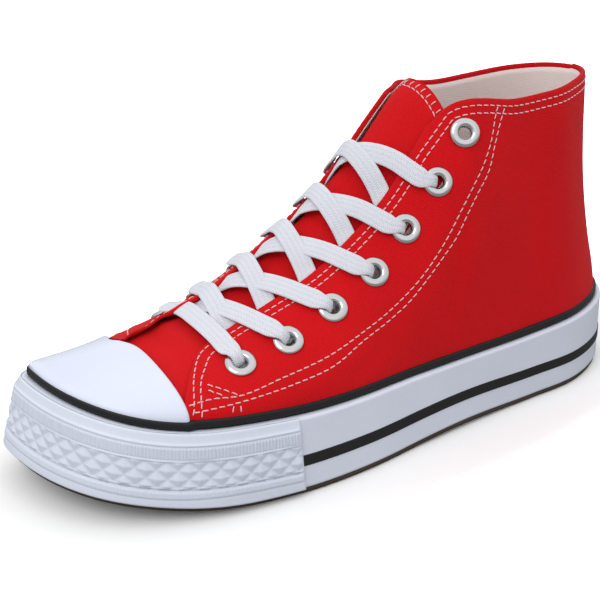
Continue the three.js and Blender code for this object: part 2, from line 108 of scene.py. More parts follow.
OUTLINE = curves([  # share of length; half breadths at the sole wall's top, line of the ridge
    (0.00, 3.0, 3.0, 3.0), (0.03, 20.5, -17.0, 3.0), (0.08, 29.8, -25.5, 2.5),
    (0.15, 36.0, -29.3, 1.5), (0.25, 37.4, -29.8, -1.0), (0.38, 38.8, -28.8, -4.5),
    (0.50, 41.1, -33.0, -7.0), (0.60, 43.9, -39.3, -8.0), (0.68, 44.2, -42.6, -8.0),
    (0.75, 42.9, -41.6, -8.5), (0.83, 39.8, -37.6, -9.5), (0.90, 32.1, -32.4, -11.0),
    (0.95, 21.9, -27.6, -13.0), (0.98, 9.3, -23.4, -14.5), (1.00, -18.2, -18.2, -18.2)], True)
SOLE = curves([  # share of length; foot and top of the side wall, its thickness, flare of its foot
    (0.00, 0.0, 32.9, 3.4, 0.4), (0.15, 0.0, 31.8, 3.5, 1.6), (0.25, 0.0, 30.4, 3.4, 2.0),
    (0.40, 1.0, 30.0, 3.4, 3.2), (0.55, 0.0, 30.3, 3.4, 4.0), (0.70, 0.0, 30.7, 3.9, 4.4),
    (0.80, 1.0, 32.4, 4.1, 4.2), (0.90, 4.6, 34.9, 4.2, 5.0), (1.00, 11.4, 42.0, 5.0, 7.2)])
RIDGE = curves([  # share of length; height of the ridge, exponent of the rise, exponents of both sides
    (0.00, 182, 2.00, 2.00, 2.00), (0.20, 182, 2.00, 2.00, 2.00), (0.30, 174, 2.05, 2.05, 2.05),
    (0.34, 160, 2.30, 2.10, 2.10), (0.375, 136.5, 2.90, 2.20, 2.20),
    (0.40, 131.5, 2.30, 2.10, 2.10), (0.44, 122, 2.00, 1.80, 1.80), (0.50, 105.2, 1.75, 1.60, 1.55),
    (0.56, 90.0, 1.70, 1.50, 1.38), (0.62, 78.2, 1.70, 1.45, 1.30), (0.70, 64.8, 1.75, 1.45, 1.25),
    (0.78, 54.0, 1.85, 1.60, 1.22), (0.86, 47.6, 2.00, 1.80, 1.22), (0.92, 44.2, 1.90, 1.85, 1.25),
    (0.96, 42.8, 1.65, 1.75, 1.30), (0.985, 42.7, 1.45, 1.70, 1.35),
    (1.00, 43.1, 1.40, 1.70, 1.50)])
BACK = curves([(0, 0), (30, 0), (42, 2.2), (58, 6.5), (75, 9.8), (90, 11.5), (105, 11.8),
               (125, 11.0), (220, 11)])[0]
COLLAR = curves([  # x; height of the collar's edge, lateral and medial
    (-140, 129.5, 129.5), (-118, 129.5, 129.0), (-100, 128.4, 127.6), (-80, 126.6, 125.8),
    (-60, 125.8, 125.2), (-46, 127.6, 127.0), (-40, 127.9, 128.0), (-36.5, 127.2, 128.1),
    (-34, 125.8, 128.0), (-31, 123.6, 127.7), (-28.5, 121.4, 127.4), (-26, 119.2, 127.0),
    (-25, 118.6, 127.0), (-24.5, 160, 160),
    (140, 400, 400)])
FACING = curves([  # x; how far out the edges of the two facings lie
    (-60, 15.3, -14.0), (-30, 15.3, -14.0), (-6, 17.0, -12.8), (15, 16.8, -12.4),
    (32, 16.8, -12.0), (50, 15.0, -11.4), (66, 13.9, -10.8), (74, 14.2, -10.4),
    (79, 15.6, -10.2), (83, 18.2, -10.0), (86.5, 21.6, -9.9), (90, 25.4, -9.8),
    (93.4, 29.8, -9.8), (96, 33.4, -9.9), (98, 38.0, -10.0), (101, 60.0, -10.5),
    (105, 90.0, -60.0)])
# From the toe upwards: how far forward and how high the eyelets lie, lateral and then medial.
EYELETS = ((70.4, 46.0, 73.0, 47.5), (50.4, 50.7, 57.0, 52.8), (29.7, 58.7, 39.5, 61.8),
           (9.6, 68.6, 23.0, 69.8), (-6.6, 82.7, 8.0, 80.9), (-22.2, 98.9, -8.0, 93.8),
           (-35.4, 116.6, -23.0, 110.7))
LACE_STARTS = ((66.9, 70.0), (50.5, 58.0), (32.5, 41.0), (13.9, 22.0), (-2.6, 3.0))


class Side(Enum):
    """The two sides of the shoe, by the sign of Y."""

    LATERAL = 1
    MEDIAL = -1


def unit(v: Array) -> Array:
    """Vectors of length one: each divided by its own length."""
    return v / np.maximum(np.linalg.norm(v, axis=-1, keepdims=True), 1e-12)


# ---------------------------------------------------------------- the last

@dataclass(frozen=True)
class Last:
    """Surface that the whole shoe is built on.

    A point is named by `turn`, 0 at the heel and 1 at the toe, and `v`: 0 on the ridge, 1 at the
    top of the lateral sole wall, -1 at the medial one, and 2 or -2 down where the insole lies.
    """

    length: float = 264.0
    lean: float = 3.5
    lean_height: float = 95.0
    core: float = 7.3

    def x_of(self, turn: Array | float) -> Array:
        """Distance forward of mid length at a turn."""
        return self.length * (along(turn) - 0.5)

    def turn_of(self, x: Array | float) -> Array:
        """Turn at a distance forward of mid length, the inverse of `x_of`."""
        return turn_at(np.asarray(x, float) / self.length + 0.5)

    def forward(self, share: Array, z: Array) -> Array:
        """How far the back stands forward: the back's curve times a fade over 0.3 of the length."""
        return BACK(z) * ease(1 - share / 0.3)

    def leaning(self, share: Array, z: Array, foot: Array) -> Array:
        """Sideways lean of the shaft: grows with height over the sole, fades out by mid length."""
        return (-self.lean * np.clip((z - foot) / self.lean_height, 0, 1.2)
                * np.clip((0.5 - share) / 0.2, 0, 1))

    def skin(self, turn: Array | float, v: Array | float) -> Array:
        """Point of the face: a super-ellipse across, whose angle runs with `v`.

        Height rises with the sine to the power 2/rise, breadth with the cosine to the power
        2/round; beyond 1 the wall goes straight down to the insole.

        Args:
            turn: Place along the shoe.
            v: Place across it.

        Returns:
            Points with a last axis of three.
        """
        turn, v = np.broadcast_arrays(np.asarray(turn, float), np.asarray(v, float))
        share = along(turn)
        edge = np.where(v >= 0, OUTLINE[0](share), OUTLINE[1](share))
        axis, foot, low = OUTLINE[2](share), SOLE[1](share), self.foot(share) + self.core
        ridge, rise, rounding, inner = (c(share) for c in RIDGE)
        rounding = np.where(v >= 0, rounding, inner)
        swing = np.clip(1 - np.abs(v), 0, 1) * np.pi / 2
        z = foot + (ridge - foot) * np.sin(swing) ** (2 / rise)
        reach = np.clip(np.cos(swing), 0, 1) ** (2 / rounding)
        y = axis + (edge - axis) * reach + self.leaning(share, z, foot)
        x = self.length * (share - 0.5) + self.forward(share, z)
        z = z - np.clip(np.abs(v) - 1, 0, None) * (foot - low)
        return np.stack([x, y, z], -1)

    def foot(self, share: Array) -> Array:
        """Height of the sole wall's foot, flat under heel and ball."""
        return np.maximum(0, SOLE[0](share))

    def normal(self, turn: Array | float, v: Array | float) -> Array:
        """Outward normal: the cross product of the two tangents, each from a small step."""
        turn, v = np.broadcast_arrays(np.asarray(turn, float), np.asarray(v, float))
        step = 2e-3
        hand = np.where(v >= 0, 1e-9, -1e-9) + v
        t0, t1 = np.clip(turn - step, 0, 1), np.clip(turn + step, 0, 1)
        run = self.skin(t1, hand) - self.skin(t0, hand)
        out = np.cross(run, self.skin(turn, v + step) - self.skin(turn, v - step))
        ends = (turn < 1e-6) | (turn > 1 - 1e-6)
        out[..., 1] = np.where(ends, 0, out[..., 1])
        return unit(out)

    def at(self, turn: Array | float, v: Array | float, out: Array | float = 0.0) -> Array:
        """Point moved out from the face along its normal."""
        out = np.asarray(out, float)
        return self.skin(turn, v) + self.normal(turn, v) * out[..., None]

    def locate(self, points: Array) -> tuple[Array, Array]:
        """Turn and `v` of the face's point next to each given point.

        The share of the length comes from x, less what the back stands forward; the angle of the
        section is the one whose sine and cosine fit the point's height and breadth.

        Args:
            points: Points near the face.

        Returns:
            Turn and `v` of each.
        """
        x, y, z = np.moveaxis(np.asarray(points, float), -1, 0)
        share = np.clip(x / self.length + 0.5, 0, 1)
        for _ in range(6):
            share = np.clip((x - self.forward(share, z)) / self.length + 0.5, 0, 1)
        axis, foot = OUTLINE[2](share), SOLE[1](share)
        ridge, rise, rounding, inner = (c(share) for c in RIDGE)
        off = y - self.leaning(share, z, foot) - axis
        rounding = np.where(off >= 0, rounding, inner)
        edge = np.where(off >= 0, OUTLINE[0](share), OUTLINE[1](share)) - axis
        up = np.clip((z - foot) / (ridge - foot), 0, 1) ** (rise / 2)
        across = np.clip(off / edge, 0, 1) ** (rounding / 2)
        return turn_at(share), np.where(off >= 0, 1, -1) * (1 - np.arctan2(up, across) * 2 / np.pi)

    def v_of_y(self, turn: Array, y: Array) -> Array:
        """`v` where the face reaches y: the angle whose cosine power gives that breadth."""
        share = along(turn)
        axis, foot = OUTLINE[2](share), SOLE[1](share)
        ridge, rise, rounding, inner = (c(share) for c in RIDGE)
        rounding = np.where(y > axis, rounding, inner)
        edge = np.where(y > axis, OUTLINE[0](share), OUTLINE[1](share))
        z = ridge
        for _ in range(10):
            reach = np.clip((y - self.leaning(share, z, foot) - axis) / (edge - axis), 0, 1)
            z = foot + (ridge - foot) * (1 - reach ** rounding) ** (1 / rise)
        return np.sign(y - axis) * (1 - np.arccos(reach ** (rounding / 2)) * 2 / np.pi)

    def v_of_z(self, turn: Array, z: Array) -> Array:
        """How far `v` is from 0 where the face reaches height z, from the sine power."""
        share = along(turn)
        foot = SOLE[1](share)
        ridge, rise = RIDGE[0](share), RIDGE[1](share)
        up = np.clip((z - foot) / (ridge - foot), 0, 1)
        return 1 - np.arcsin(up ** (rise / 2)) * 2 / np.pi

    def ring(self, turn: Array, side: int, grow: Array | float, z: Array | float) -> Array:
        """Plan outline grown outwards: the outline's point plus its own normal times `grow`."""
        step = 2e-3
        column = OUTLINE[0] if side > 0 else OUTLINE[1]
        turn, grow, z = np.broadcast_arrays(np.asarray(turn, float), grow, z)

        def plan(t: Array) -> Array:
            """Outline point at a turn."""
            share = along(t)
            return np.stack([self.length * (share - 0.5), column(share)], -1)

        run = unit(plan(np.clip(turn + step, 0, 1)) - plan(np.clip(turn - step, 0, 1)))
        ends = (turn < 1e-6) | (turn > 1 - 1e-6)
        nx = np.where(ends, np.where(turn < 0.5, -1, 1), -side * run[..., 1])
        ny = np.where(ends, 0, side * run[..., 0])
        here = plan(turn)
        return np.stack([here[..., 0] + nx * grow, here[..., 1] + ny * grow, z], -1)


LAST = Last()


# ---------------------------------------------------------------- meshes

def quads(rows: int, columns: int, wrap_rows: bool = False, wrap_columns: bool = False) -> Array:
    """Four corners of each cell of a grid, as indices into its points taken row by row."""
    i, j = np.meshgrid(np.arange(rows if wrap_rows else rows - 1),
                       np.arange(columns if wrap_columns else columns - 1), indexing="ij")
    k, n = (i + 1) % rows, (j + 1) % columns
    return np.stack([i * columns + j, k * columns + j, k * columns + n, i * columns + n],
                    -1).reshape(-1, 4)


def volume(points: Array, faces: Array) -> float:
    """Signed volume: the sum of the tetrahedra from the centre to each half face."""
    p = points[faces] - points.mean(0)
    first = np.einsum("ij,ij->i", p[:, 0], np.cross(p[:, 1], p[:, 2]))
    return float((first + np.einsum("ij,ij->i", p[:, 0], np.cross(p[:, 2], p[:, 3]))).sum())


def make_mesh(name: str, points: Array, faces: Array, marks: Array | None = None,
              caps: Sequence[Sequence[int]] = ()) -> bpy.types.Object:
    """Closed form from points in millimetres and four-cornered faces, turned to face outwards.

    Args:
        name: Object name.
        points: Points in the last's axes.
        faces: Corner indices, four to a face.
        marks: Cloth coordinates in millimetres, one pair a point.
        caps: Many-cornered faces that close the ends.

    Returns:
        The object, riding on the shoe's body.
    """
    if volume(points, faces) < 0:
        faces, caps = faces[:, ::-1], [list(cap)[::-1] for cap in caps]
    mesh = bpy.data.meshes.new(name)
    mesh.from_pydata(((points - CENTRE) * MM).tolist(), [],
                     faces.tolist() + [list(map(int, cap)) for cap in caps])
    if marks is not None:
        corners = np.zeros(len(mesh.loops), np.int32)
        mesh.loops.foreach_get("vertex_index", corners)
        layer = mesh.uv_layers.new(name="Cloth")
        layer.data.foreach_set("uv", marks[corners].astype(np.float32).ravel())
    mesh.polygons.foreach_set("use_smooth", np.ones(len(mesh.polygons), bool))
    mesh.validate()
    mesh.update()
    piece = bpy.data.objects.new(name, mesh)
    bpy.context.scene.collection.objects.link(piece)
    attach(piece, BODY)
    return piece


def make_sweep(name: str, points: Array, marks: Array | None = None,
               ring: bool = False) -> bpy.types.Object:
    """Object from a grid of section loops.

    Args:
        name: Object name.
        points: Points in the last's axes, one section loop to a row.
        marks: Cloth coordinates in millimetres, one pair a point.
        ring: Whether the last section meets the first; if not, both ends are closed.

    Returns:
        The object.
    """
    count, size = points.shape[:2]
    caps = () if ring else [list(range(size))[::-1], list(range((count - 1) * size, count * size))]
    return make_mesh(name, points.reshape(-1, 3), quads(count, size, ring, True),
                     None if marks is None else marks.reshape(-1, 2), caps)


def distances(points: Array, axis: int = 0) -> Array:
    """Length walked so far along one axis of a grid of points."""
    steps = np.linalg.norm(np.diff(points, axis=axis), axis=-1)
    pad = [(0, 0)] * steps.ndim
    pad[axis] = (1, 0)
    return np.pad(np.cumsum(steps, axis), pad)


def resample(points: Array, pitch: float) -> Array:
    """Points at even steps of length along a line."""
    walked = distances(points)
    count = max(2, int(round(walked[-1] / pitch)) + 1)
    where = np.linspace(0, walked[-1], count)
    return np.stack([np.interp(where, walked, points[:, k]) for k in range(3)], -1)


def spline(points: Sequence[Sequence[float]], count: int = 200) -> Array:
    """Smooth line through points: each coordinate is a curve over the length walked."""
    p = np.asarray(points, float)
    walked = distances(p)
    where = np.linspace(0, walked[-1], count)
    return np.stack([Curve(tuple(walked), tuple(p[:, k]))(where) for k in range(3)], -1)


def dress(piece: bpy.types.Object, finish: bpy.types.Material, slot: str,
          *nodes: str) -> bpy.types.Object:
    """Gives a piece its finish, hides the frame's parts that it stands for, and logs its triangle
    count.
    """
    piece.data.materials.clear()
    piece.data.materials.append(finish)
    if nodes:
        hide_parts(*nodes)
    triangles = sum(len(p.vertices) - 2 for p in piece.data.polygons)
    log.info("%s: %d triangles", piece.name, triangles)
    return piece


# ---------------------------------------------------------------- finishes

def linear(code: str) -> tuple[float, float, float, float]:
    """Linear colour from an sRGB hex code: the standard power curve with its straight foot."""
    s = np.array([int(code[i:i + 2], 16) for i in (1, 3, 5)]) / 255
    rgb = np.where(s <= 0.04045, s / 12.92, ((s + 0.055) / 1.055) ** 2.4)
    return (*map(float, rgb), 1.0)


Owner = bpy.types.Material | bpy.types.World
Socket = bpy.types.NodeSocket


def add_node(owner: Owner, kind: str, inputs: dict | None = None,
             **settings: object) -> bpy.types.Node:
    """Adds one node.

    Args:
        owner: Material or world whose tree gets it.
        kind: Type name of the node.
        inputs: Values or sockets for its inputs, by name or number.
        settings: Properties of the node.

    Returns:
        The node.
    """
    node = owner.node_tree.nodes.new(kind)
    for name, value in settings.items():
        setattr(node, name, value)
    for name, value in (inputs or {}).items():
        if isinstance(value, Socket):
            owner.node_tree.links.new(value, node.inputs[name])
        else:
            node.inputs[name].default_value = value
    return node


def shader(name: str, **values: object) -> tuple[bpy.types.Material, bpy.types.ShaderNode]:
    """New material and its shader, with uniform values set on the shader's own sockets."""
    material = bpy.data.materials.new(name)
    material.use_nodes = True
    bsdf = material.node_tree.nodes["Principled BSDF"]
    for key, value in values.items():
        bsdf.inputs[key.replace("_", " ")].default_value = value
    return material, bsdf


def link(owner: Owner, source: Socket, target: Socket) -> None:
    """Joins two sockets."""
    owner.node_tree.links.new(source, target)


@dataclass(frozen=True)
class Canvas:
    """Plain-woven cotton canvas: threads over and under one another, dull, with a faint nap."""

    name: str
    light: str
    dark: str
    thread: float = 0.62  # mm from thread to thread, a little coarser than life so that it shows
    depth: float = 0.16  # mm that the crossings stand out
    speck: float = 0.5  # how far single threads differ in colour
    sheen: float = 0.25
    rough: float = 0.85

    def build(self) -> bpy.types.Material:
        """Weave from two sine rulings at right angles on the cloth's own coordinates; the colour
        follows the weave's height as painted shade in its hollows, with random thread tone on top.
        """
        m, bsdf = shader(self.name, Roughness=self.rough, Sheen_Weight=self.sheen,
                         Sheen_Roughness=0.45, Specular_IOR_Level=0.25)
        uv = add_node(m, "ShaderNodeUVMap", uv_map="Cloth").outputs[0]
        axes = add_node(m, "ShaderNodeSeparateXYZ", {0: uv})
        waves = []
        for k in range(2):
            angle = add_node(m, "ShaderNodeMath", {0: axes.outputs[k], 1: np.pi / self.thread},
                             operation="MULTIPLY").outputs[0]
            waves.append(add_node(m, "ShaderNodeMath", {0: angle}, operation="SINE").outputs[0])
        both = add_node(m, "ShaderNodeMath", {0: waves[0], 1: waves[1]},
                        operation="MULTIPLY").outputs[0]
        height = add_node(m, "ShaderNodeMath", {0: both}, operation="ABSOLUTE").outputs[0]
        slub = add_node(m, "ShaderNodeTexNoise", {"Vector": uv, "Scale": 0.9 / self.thread,
                                                  "Detail": 2.0, "Roughness": 0.7}).outputs["Fac"]
        place = add_node(m, "ShaderNodeTexCoord").outputs["Object"]
        broad = add_node(m, "ShaderNodeTexNoise", {"Vector": place, "Scale": 28.0,
                                                   "Detail": 3.0}).outputs["Fac"]
        # Colour: random thread tone (slub, broad) plus the weave's height, so the crossings are
        # painted lighter and the hollows darker, which is painted shade.
        shade = add_node(m, "ShaderNodeMath", {0: slub, 1: self.speck, 2: height},
                         operation="MULTIPLY_ADD").outputs[0]
        shade = add_node(m, "ShaderNodeMath", {0: broad, 1: 0.5, 2: shade},
                         operation="MULTIPLY_ADD").outputs[0]
        span = add_node(m, "ShaderNodeMapRange", {"Value": shade, "From Min": 0.25,
                                                  "From Max": 1.25 + self.speck / 2}).outputs[0]
        colour = add_node(m, "ShaderNodeMix", {0: span, 6: linear(self.dark),
                                               7: linear(self.light)}, data_type="RGBA")
        link(m, colour.outputs[2], bsdf.inputs["Base Color"])
        relief = add_node(m, "ShaderNodeMath", {0: slub, 1: 0.6, 2: height},
                          operation="MULTIPLY_ADD").outputs[0]
        bump = add_node(m, "ShaderNodeBump", {"Height": relief, "Strength": 0.7,
                                              "Distance": self.depth * MM})
        link(m, bump.outputs[0], bsdf.inputs["Normal"])
        return m


@dataclass(frozen=True)
class Webbing:
    """Flat woven cotton tape: ribs along it, crossed by fine threads in a herringbone."""

    name: str
    light: str
    dark: str
    rib: float = 1.0  # mm from rib to rib across the tape
    pick: float = 0.75  # mm from thread to thread along it

    def build(self) -> bpy.types.Material:
        """Ribs are sines across the tape; the threads' phase goes up and down with the ribs. The
        colour follows their height as painted shade in the grooves, with random fuzz on top.
        """
        m, bsdf = shader(self.name, Roughness=0.9, Sheen_Weight=0.3, Sheen_Roughness=0.5,
                         Specular_IOR_Level=0.2)
        uv = add_node(m, "ShaderNodeUVMap", uv_map="Cloth").outputs[0]
        axes = add_node(m, "ShaderNodeSeparateXYZ", {0: uv})
        zig = add_node(m, "ShaderNodeMath", {0: axes.outputs[1], 1: self.rib},
                       operation="PINGPONG").outputs[0]
        slant = add_node(m, "ShaderNodeMath", {0: zig, 1: 0.9, 2: axes.outputs[0]},
                         operation="MULTIPLY_ADD").outputs[0]
        turn = add_node(m, "ShaderNodeMath", {0: slant, 1: 2 * np.pi / self.pick},
                        operation="MULTIPLY").outputs[0]
        thread = add_node(m, "ShaderNodeMath", {0: turn}, operation="SINE").outputs[0]
        height = add_node(m, "ShaderNodeMath", {0: zig, 1: 0.8 / self.rib, 2: thread},
                          operation="MULTIPLY_ADD").outputs[0]
        fuzz = add_node(m, "ShaderNodeTexNoise", {"Vector": uv, "Scale": 1.6,
                                                  "Detail": 2.0}).outputs["Fac"]
        # Colour: random fuzz plus the ribs' and threads' height, so the crests are painted lighter and
        # the grooves darker, which is painted shade.
        span = add_node(m, "ShaderNodeMath", {0: fuzz, 1: 1.2, 2: height},
                        operation="MULTIPLY_ADD").outputs[0]
        span = add_node(m, "ShaderNodeMapRange", {"Value": span, "From Min": -1.0,
                                                  "From Max": 1.4}).outputs[0]
        colour = add_node(m, "ShaderNodeMix", {0: span, 6: linear(self.dark),
                                               7: linear(self.light)}, data_type="RGBA")
        link(m, colour.outputs[2], bsdf.inputs["Base Color"])
        bump = add_node(m, "ShaderNodeBump", {"Height": height, "Strength": 0.6,
                                              "Distance": 0.14 * MM})
        link(m, bump.outputs[0], bsdf.inputs["Normal"])
        return m


@dataclass(frozen=True)
class Rubber:
    """Vulcanised or moulded rubber: satin, faintly uneven from the press, a little scuffed."""

    name: str
    light: str
    dark: str
    rough: float = 0.42
    grain: float = 0.9  # mm, size of the press's fine unevenness
    depth: float = 0.035
    coat: float = 0.0

    def build(self) -> bpy.types.Material:
        """Broad and fine noise vary the colour and roughness, and fine noise lifts the skin."""
        m, bsdf = shader(self.name, Specular_IOR_Level=0.45, Coat_Weight=self.coat,
                         Coat_Roughness=0.25)
        place = add_node(m, "ShaderNodeTexCoord").outputs["Object"]
        broad = add_node(m, "ShaderNodeTexNoise", {"Vector": place, "Scale": 22.0,
                                                   "Detail": 4.0}).outputs["Fac"]
        fine = add_node(m, "ShaderNodeTexNoise", {"Vector": place, "Scale": 1 / (self.grain * MM),
                                                  "Detail": 2.0}).outputs["Fac"]
        mix = add_node(m, "ShaderNodeMath", {0: fine, 1: 0.35, 2: broad},
                       operation="MULTIPLY_ADD").outputs[0]
        span = add_node(m, "ShaderNodeMapRange", {"Value": mix, "From Min": 0.4,
                                                  "From Max": 0.9}).outputs[0]
        colour = add_node(m, "ShaderNodeMix", {0: span, 6: linear(self.dark),
                                               7: linear(self.light)}, data_type="RGBA")
        link(m, colour.outputs[2], bsdf.inputs["Base Color"])
        rough = add_node(m, "ShaderNodeMapRange", {"Value": broad, "To Min": self.rough - 0.07,
                                                   "To Max": self.rough + 0.1}).outputs[0]
        link(m, rough, bsdf.inputs["Roughness"])
        bump = add_node(m, "ShaderNodeBump", {"Height": fine, "Strength": 0.5,
                                              "Distance": self.depth * MM})
        link(m, bump.outputs[0], bsdf.inputs["Normal"])
        return m


@dataclass(frozen=True)
class Plating:
    """Nickel-plated steel, rolled and tumbled: bright, with hair-fine handling marks."""

    name: str = "nickel_plate"
    colour: str = "#c9cbcd"

    def build(self) -> bpy.types.Material:
        """Noise on the roughness only, so that the bright rings stay smooth."""
        m, bsdf = shader(self.name, Metallic=1.0, Base_Color=linear(self.colour))
        place = add_node(m, "ShaderNodeTexCoord").outputs["Object"]
        marks = add_node(m, "ShaderNodeTexNoise", {"Vector": place, "Scale": 900.0,
                                                   "Detail": 3.0}).outputs["Fac"]
        rough = add_node(m, "ShaderNodeMapRange", {"Value": marks, "To Min": 0.08,
                                                   "To Max": 0.26}).outputs[0]
        link(m, rough, bsdf.inputs["Roughness"])
        return m


class Finish(Enum):
    """Finishes of the shoe."""

    # The dark ends of the canvas, lining, insole, thread and lace colours are reached partly in the
    # weave's hollows as painted shade, and partly as random tone.
    RED = Canvas("red_canvas", "#ea0010", "#b20007", sheen=0.02)
    LINING = Canvas("lining_canvas", "#fbf0ec", "#e6d6d2", thread=0.8, sheen=0.1)
    SOCK = Canvas("insole_cloth", "#dedad4", "#bdb8b0", thread=0.7, sheen=0.1)
    LACE = Webbing("lace_tape", "#e9ebf3", "#bcc0cd")
    THREAD = Canvas("cotton_thread", "#f6e9ea", "#d9b9be", thread=0.5, speck=0.3, sheen=0.1)
    WHITE = Rubber("white_rubber", "#dde2f0", "#d3d9e8")
    CAP = Rubber("cap_rubber", "#dde3f4", "#d5dcee", rough=0.32, depth=0.015, coat=0.15)
    BLACK = Rubber("black_rubber", "#0e0f12", "#08090b", rough=0.6)
    TREAD = Rubber("tread_rubber", "#4a3d33", "#33291f", rough=0.65, depth=0.08)
    METAL = Plating()


FINISHES: dict[Finish, bpy.types.Material] = {}


def finish(kind: Finish) -> bpy.types.Material:
    """The material of a finish, built once."""
    if kind not in FINISHES:
        FINISHES[kind] = kind.value.build()
    return FINISHES[kind]


# ---------------------------------------------------------------- cloth

@dataclass
class Cloth:
    """Edges, thickness and soft folds that the cloth pieces share."""

    outer: float = 0.25  # mm that the quarters' face stands off the last
    ply: float = 1.05  # one ply of the quarters
    folded: float = 2.1  # the quarters where they are turned over at the collar and facings
    # x, v, half width along x, half width across in v, height in mm, slant
    folds: tuple[tuple[float, ...], ...] = (
        (88, 0.05, 3.0, 0.35, -0.5, 0.5), (82, 0.1, 3.2, 0.4, 0.45, 0.4),
        (40, 0.82, 9.0, 0.10, 0.6, 6.0), (20, 0.86, 8.0, 0.08, -0.5, 8.0),
        (-12, 0.72, 10.0, 0.12, 0.7, 10.0), (-30, 0.78, 9.0, 0.16, -0.7, 14.0),
        (-48, 0.66, 10.0, 0.2, 0.6, 12.0), (-72, 0.74, 12.0, 0.3, -0.6, 5.0),
        (-95, 0.6, 10.0, 0.35, 0.5, -6.0), (-20, -0.7, 10.0, 0.2, 0.7, 8.0),
        (-55, -0.7, 12.0, 0.25, -0.6, 6.0), (30, -0.8, 9.0, 0.15, 0.6, 6.0))

    def edge(self, turn: Array, side: int) -> Array:
        """`v` of the quarters' top edge: the lower of the facing's line and the collar's.

        Args:
            turn: Places along the shoe.
            side: 1 for the lateral side and -1 for the medial one.

        Returns:
            Signed `v`.
        """
        share = along(turn)
        x = LAST.length * (share - 0.5)
        facing = np.abs(LAST.v_of_y(turn, FACING[0 if side > 0 else 1](x)))
        facing = np.where(x > -60, facing, 0)
        rim = COLLAR[0 if side > 0 else 1]
        z = rim(x)
        for _ in range(4):
            z = rim(x + LAST.forward(share, z))
        collar = LAST.v_of_z(turn, z)
        return side * np.maximum(facing, collar)

    def soft(self, turn: Array, v: Array) -> Array:
        """Height of the soft folds: a sum of slanting bell-shaped ridges and troughs."""
        x = LAST.x_of(turn)
        total = np.zeros(np.broadcast(turn, v).shape)
        for x0, v0, wide, tall, height, slant in self.folds:
            dv = (v - v0) / tall
            total = total + height * np.exp(-((x - x0 - slant * dv) / wide) ** 2 - dv ** 2)
        return total

    def raised(self, turn: Array, v: Array) -> Array:
        """How far the medial facing stands off the vamp in front, falling off from its edge."""
        x = LAST.x_of(turn)
        gap = np.abs(v - self.edge(turn, -1))
        return np.where(v < 0, 2.4, 0) * ease((x - 60) / 14) * ease((103 - x) / 9) \
            * np.exp(-(gap / 0.13) ** 2)

    def face(self, turn: Array, v: Array, out: Array | float = 0.0) -> Array:
        """Point of the quarters' cloth: the last's face, its folds, and `out` beyond it."""
        turn, v = np.broadcast_arrays(np.asarray(turn, float), np.asarray(v, float))
        return LAST.at(turn, v, out + self.soft(turn, v) + self.raised(turn, v))

    def columns(self, side: int, start: float, pitch: float) -> Array:
        """Turns close together where the edge is steep: lateral from the front to the heel,
        medial from just past the heel to the front."""
        turn = np.linspace(LAST.turn_of(start), 0, 2400)
        line = self.face(turn, self.edge(turn, side), 0)
        base = LAST.ring(turn, side, 0, 30)
        walked = np.cumsum(np.maximum(np.linalg.norm(np.diff(line, axis=0), axis=1),
                                      np.linalg.norm(np.diff(base, axis=0), axis=1)))
        walked = np.concatenate([[0], walked])
        count = int(walked[-1] / pitch)
        turn = np.interp(np.linspace(0, walked[-1], count), walked, turn)
        return turn if side > 0 else turn[::-1][1:]


CLOTH = Cloth()


